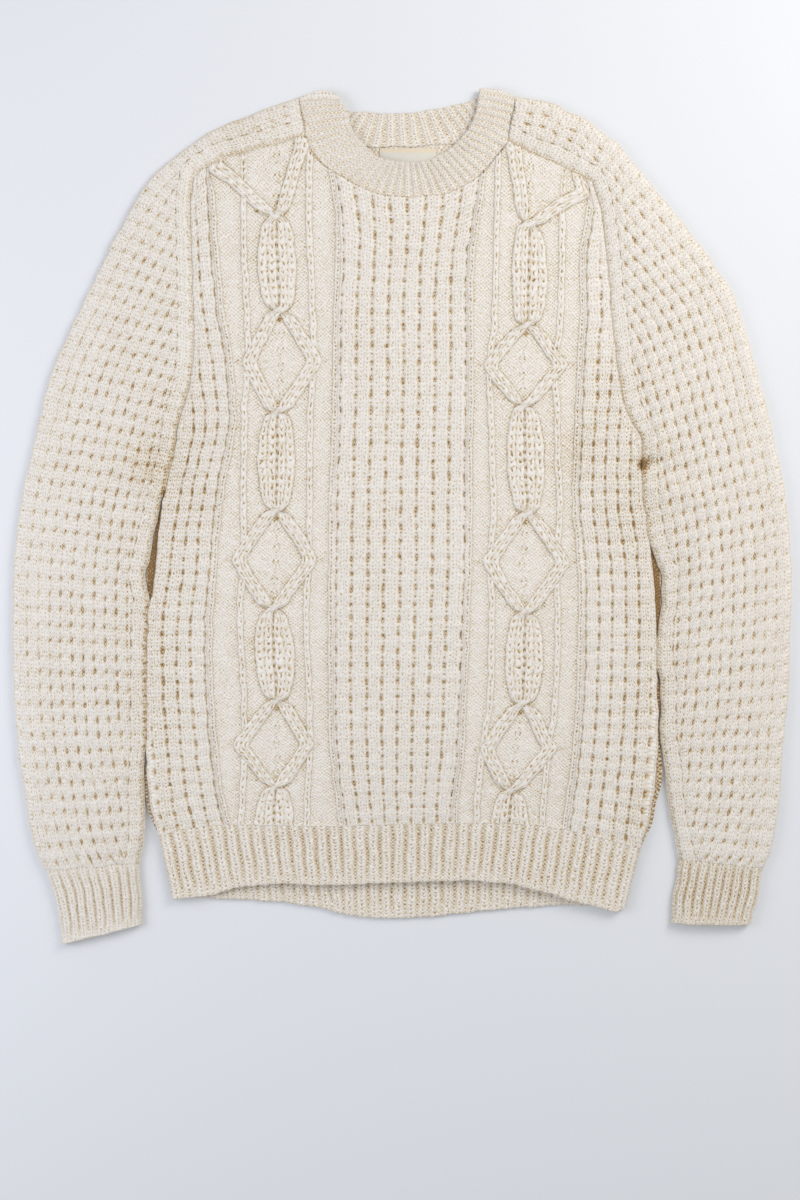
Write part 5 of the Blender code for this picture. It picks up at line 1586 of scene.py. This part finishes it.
# %% Neckband shell
def build_neckband():
    front = neck_rows(NECKBAND_FRONT, FRONT_NECK_RIBS)
    behind = neck_rows(NECKBAND_BACK, BACK_NECK_RIBS)
    tilt = np.linspace(90, -90, NECK_STEPS * FOLD_RIBS + 1)[1:-1]
    at_folds = [np.repeat(half[:1], len(tilt), axis=0) for half in (behind, front)]
    rows = np.vstack([front, at_folds[0], behind, at_folds[1]])
    flat_tilts = np.full(len(front), 90.0), np.full(len(behind), -90.0)
    tilts = np.concatenate([flat_tilts[0], tilt, flat_tilts[1], tilt[::-1]])
    phase = np.arange(len(rows)) / NECK_STEPS
    seam, edge = rows[:, :2].copy(), rows[:, 2:]
    run = across_tube(seam, edge)[1]
    seam += run * NECK_SEAM
    out, up = np.cos(np.radians(tilts))[:, None], np.sin(np.radians(tilts))[:, None]
    ahead = (1 + up) / 2
    bow = np.where(seam[:, :1] < 0, LEFT_BOW, RIGHT_BOW) * out**2
    flat = seam[:, None] + NECK_SHARES[:, None] * (edge - seam)[:, None]
    flat = flat + run[:, None] * (NECK_EDGE * NECK_OUT)[:, None]
    front_out, front_in, back_in, back_out = along(NECK_RADII, NECK_SHARES).T
    beat = 0.5 - 0.5 * np.cos(math.tau * phase)[:, None]
    crest = np.clip((beat - 0.3) / 0.5, 0, 1) ** 0.8
    crest = crest - DENT * bell(phase % 1 - 0.5, DENT_WIDTH)[:, None]
    window = np.clip(NECK_SHARES / 0.08, 0, 1) * np.clip((1.04 - NECK_SHARES) / 0.06, 0.4, 1)
    lift = NECK_RISE * 0.9 * (2 * crest - 1) * window
    outward = ahead * (front_out + lift) + (1 - ahead) * (back_out - 0.4 * (1 - crest) * window)
    bound = np.clip((BOUND - NECK_SHARES) / 0.05, 0, 1)
    ridge = bound * (0.5 + 0.5 * np.cos((NECK_SHARES - 0.08) * 32))
    ribbed = 0.75 * (2 * crest - 1) * window * (1 - bound)
    inward = ahead * front_in + (1 - ahead) * (back_in - ribbed - 0.55 * ridge)
    radius = (outward + inward) / 2 + NECK_SIDE * (outward - inward) / 2
    x = flat[..., 0]
    y = flat[..., 1] + 4 * NECK_SHARES * (1 - NECK_SHARES) * bow + radius * out
    z = FOLD_HEIGHT + radius * up
    kind = np.clip(3 - 6 * beat, 0, 1) + 0 * z
    count = (2 * phase - 0.5)[:, None] + 0 * z
    row = NECK_SHARES * NECK_ROWS + NECK_OUT + 0 * z
    # painted shade along the seam where the band meets the front, and the back half drawn a little
    # darker
    neck_seam_shade = 0.12 * (1 + wobble(x, y, 12, 59)) * bell(NECK_SHARES, 0.05) * ahead
    depth = depth_of(1.5 * crest + 0 * z, 5, 0.62, 5.8) - 0.06 * (1 - ahead) - neck_seam_shade
    grid = np.arange(z.size).reshape(z.shape)
    faces = quads(closed(np.vstack([grid, grid[:1]]))).tolist()
    piece = cloth(
        "neckband_knit", "neckband", "rib_knit",
        np.stack([x, y, np.maximum(z, 0)], axis=-1).reshape(-1, 3), faces,
        np.stack([count, row, kind], axis=-1), depth,
    )


build_neckband()

# %% [markdown]
# ## Label
#
# A bare satin ribbon is sewn under the back of the neckband, with its long edges turned under.
# It is a thin box of even thickness, beveled. Satin is woven so that its threads float along one
# direction: it is smoother than the wool and shines faintly across the ribbon.


# %% Satin
def satin(name):
    material, tree, shader = new_material(name)
    place = add(tree, "ShaderNodeTexCoord").outputs["Object"]
    stretched = add(tree, "ShaderNodeMapping", {0: place, "Scale": (300.0, 5000.0, 300.0)})
    thread = add(tree, "ShaderNodeTexNoise", {"Vector": stretched, "Scale": 1.0})
    single = ((0.25, "#D6D0C2"), (0.5, "#E2DDD1"), (0.8, "#ECE8DE"))
    double = ((0.25, "#DFCAA8"), (0.5, "#EADBC2"), (0.8, "#F1E6D4"))
    single = set_ramp(add(tree, "ShaderNodeValToRGB", {0: thread}), single)
    double = set_ramp(add(tree, "ShaderNodeValToRGB", {0: thread}), double)
    y = add(tree, "ShaderNodeSeparateXYZ", {0: place}).outputs[1]
    above = add(tree, "ShaderNodeMath", {0: y, 1: LABEL["fold"] * MM}, operation="GREATER_THAN")
    both = add(tree, "ShaderNodeMix", {"Factor": above, 6: single, 7: double}, data_type="RGBA")
    bump = add(tree, "ShaderNodeBump", {"Height": thread, "Strength": 0.3, "Distance": 0.0002})
    wire(tree, shader, {
        "Base Color": both.outputs[2], "Normal": bump, "Roughness": 0.42, "Specular IOR Level": 0.4,
    })
    return material


# %% Label
def build_label():
    left, right, bottom, top, thick = (LABEL[k] for k in ("left", "right", "bottom", "top", "thick"))
    height = WALL + 0.3 + thick / 2
    bpy.ops.mesh.primitive_cube_add(
        size=MM,
        location=((left + right) / 2 * MM, (bottom + top) / 2 * MM, height * MM),
        scale=(right - left, top - bottom, thick),
    )
    label = bpy.context.object
    label.name = "satin_label"
    bpy.ops.object.transform_apply(location=True, rotation=True, scale=True)
    bevel = label.modifiers.new("Soft edge", "BEVEL")
    bevel.width = 0.2 * MM
    bevel.segments = 2
    bpy.ops.object.modifier_apply(modifier=bevel.name)
    bpy.ops.object.shade_smooth_by_angle(angle=math.radians(30))
    label.data.materials.append(satin("Satin_ribbon_bare"))
    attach(label, "root")
    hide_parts("neck_label")
    label.select_set(False)
    print("label:", len(label.data.polygons), "faces")


build_label()

# %% [markdown]
# ## The cloth's pieces
#
# The front's three shells are parts of one knitted piece, and the back is nearly a rectangle
# with armholes.

# %% [markdown]
# ## Table, light and camera
#
# The pullover lies on pale paper in soft daylight from the upper right. A large area light gives
# the direction, a weaker one the fill, and a pale sky lifts the shadows. The camera hangs straight
# above.

# %% Table
TABLE_SIZE, TABLE_CLEARANCE = 9.0, 0.0003
table_z = cad_box[0][2] - TABLE_CLEARANCE
bpy.ops.mesh.primitive_plane_add(size=TABLE_SIZE, location=(0, 0, table_z))
table = bpy.context.object
table.name = "pale_table"
paper, tree, shader = new_material("Matt_paper")
place = add(tree, "ShaderNodeTexCoord").outputs["Object"]
grain = add(tree, "ShaderNodeTexNoise", {"Vector": place, "Scale": 700.0})
ramp = add(tree, "ShaderNodeValToRGB", {0: grain})
set_ramp(ramp, ((0.3, "#EAECF0"), (0.7, "#EEF0F3")))
wire(tree, shader, {"Base Color": ramp, "Roughness": 0.8})
table.data.materials.append(paper)
table.select_set(False)


# %% Light
def area_light(name, place, target, size, power, colour):
    light = bpy.data.lights.new(name, "AREA")
    light.size = size
    light.energy = power
    light.color = linear(colour)[:3]
    lamp = bpy.data.objects.new(name, light)
    lamp.location = place
    direction = Vector(target) - Vector(place)
    lamp.rotation_euler = direction.to_track_quat("-Z", "Y").to_euler()
    bpy.context.collection.objects.link(lamp)


area_light("key_window", (0.95, 0.7, 1.0), (0.1, 0.16, 0), 0.8, 10.8, "#FFFBF6")
area_light("left_fill", (-1.1, -0.1, 0.8), (-0.3, -0.05, 0), 0.7, 5.4, "#F3F5FF")
world = bpy.data.worlds.new("pale_sky")
bpy.context.scene.world = world
world.use_nodes = True
sky = world.node_tree.nodes["Background"]
wire(world.node_tree, sky, {0: linear("#F1F4F8"), 1: 0.58})
bpy.context.scene.view_settings.view_transform = "Standard"

# %% Camera
CAMERA_HEIGHT = 1.7  # above the front of the pullover
VIEW_TALL = 1.08  # metres of table that the picture's height takes in
CAMERA_X, CAMERA_Y, FRONT_HEIGHT = -0.0018, -0.0760, 0.006
camera = bpy.data.cameras.new("camera")
camera.sensor_fit = "VERTICAL"
camera.sensor_height = 36.0
camera.lens = camera.sensor_height * CAMERA_HEIGHT / VIEW_TALL
camera_object = bpy.data.objects.new("camera", camera)
camera_object.location = (CAMERA_X, CAMERA_Y, FRONT_HEIGHT + CAMERA_HEIGHT)
bpy.context.collection.objects.link(camera_object)
bpy.context.scene.camera = camera_object
print("lens:", round(camera.lens, 1), "mm")
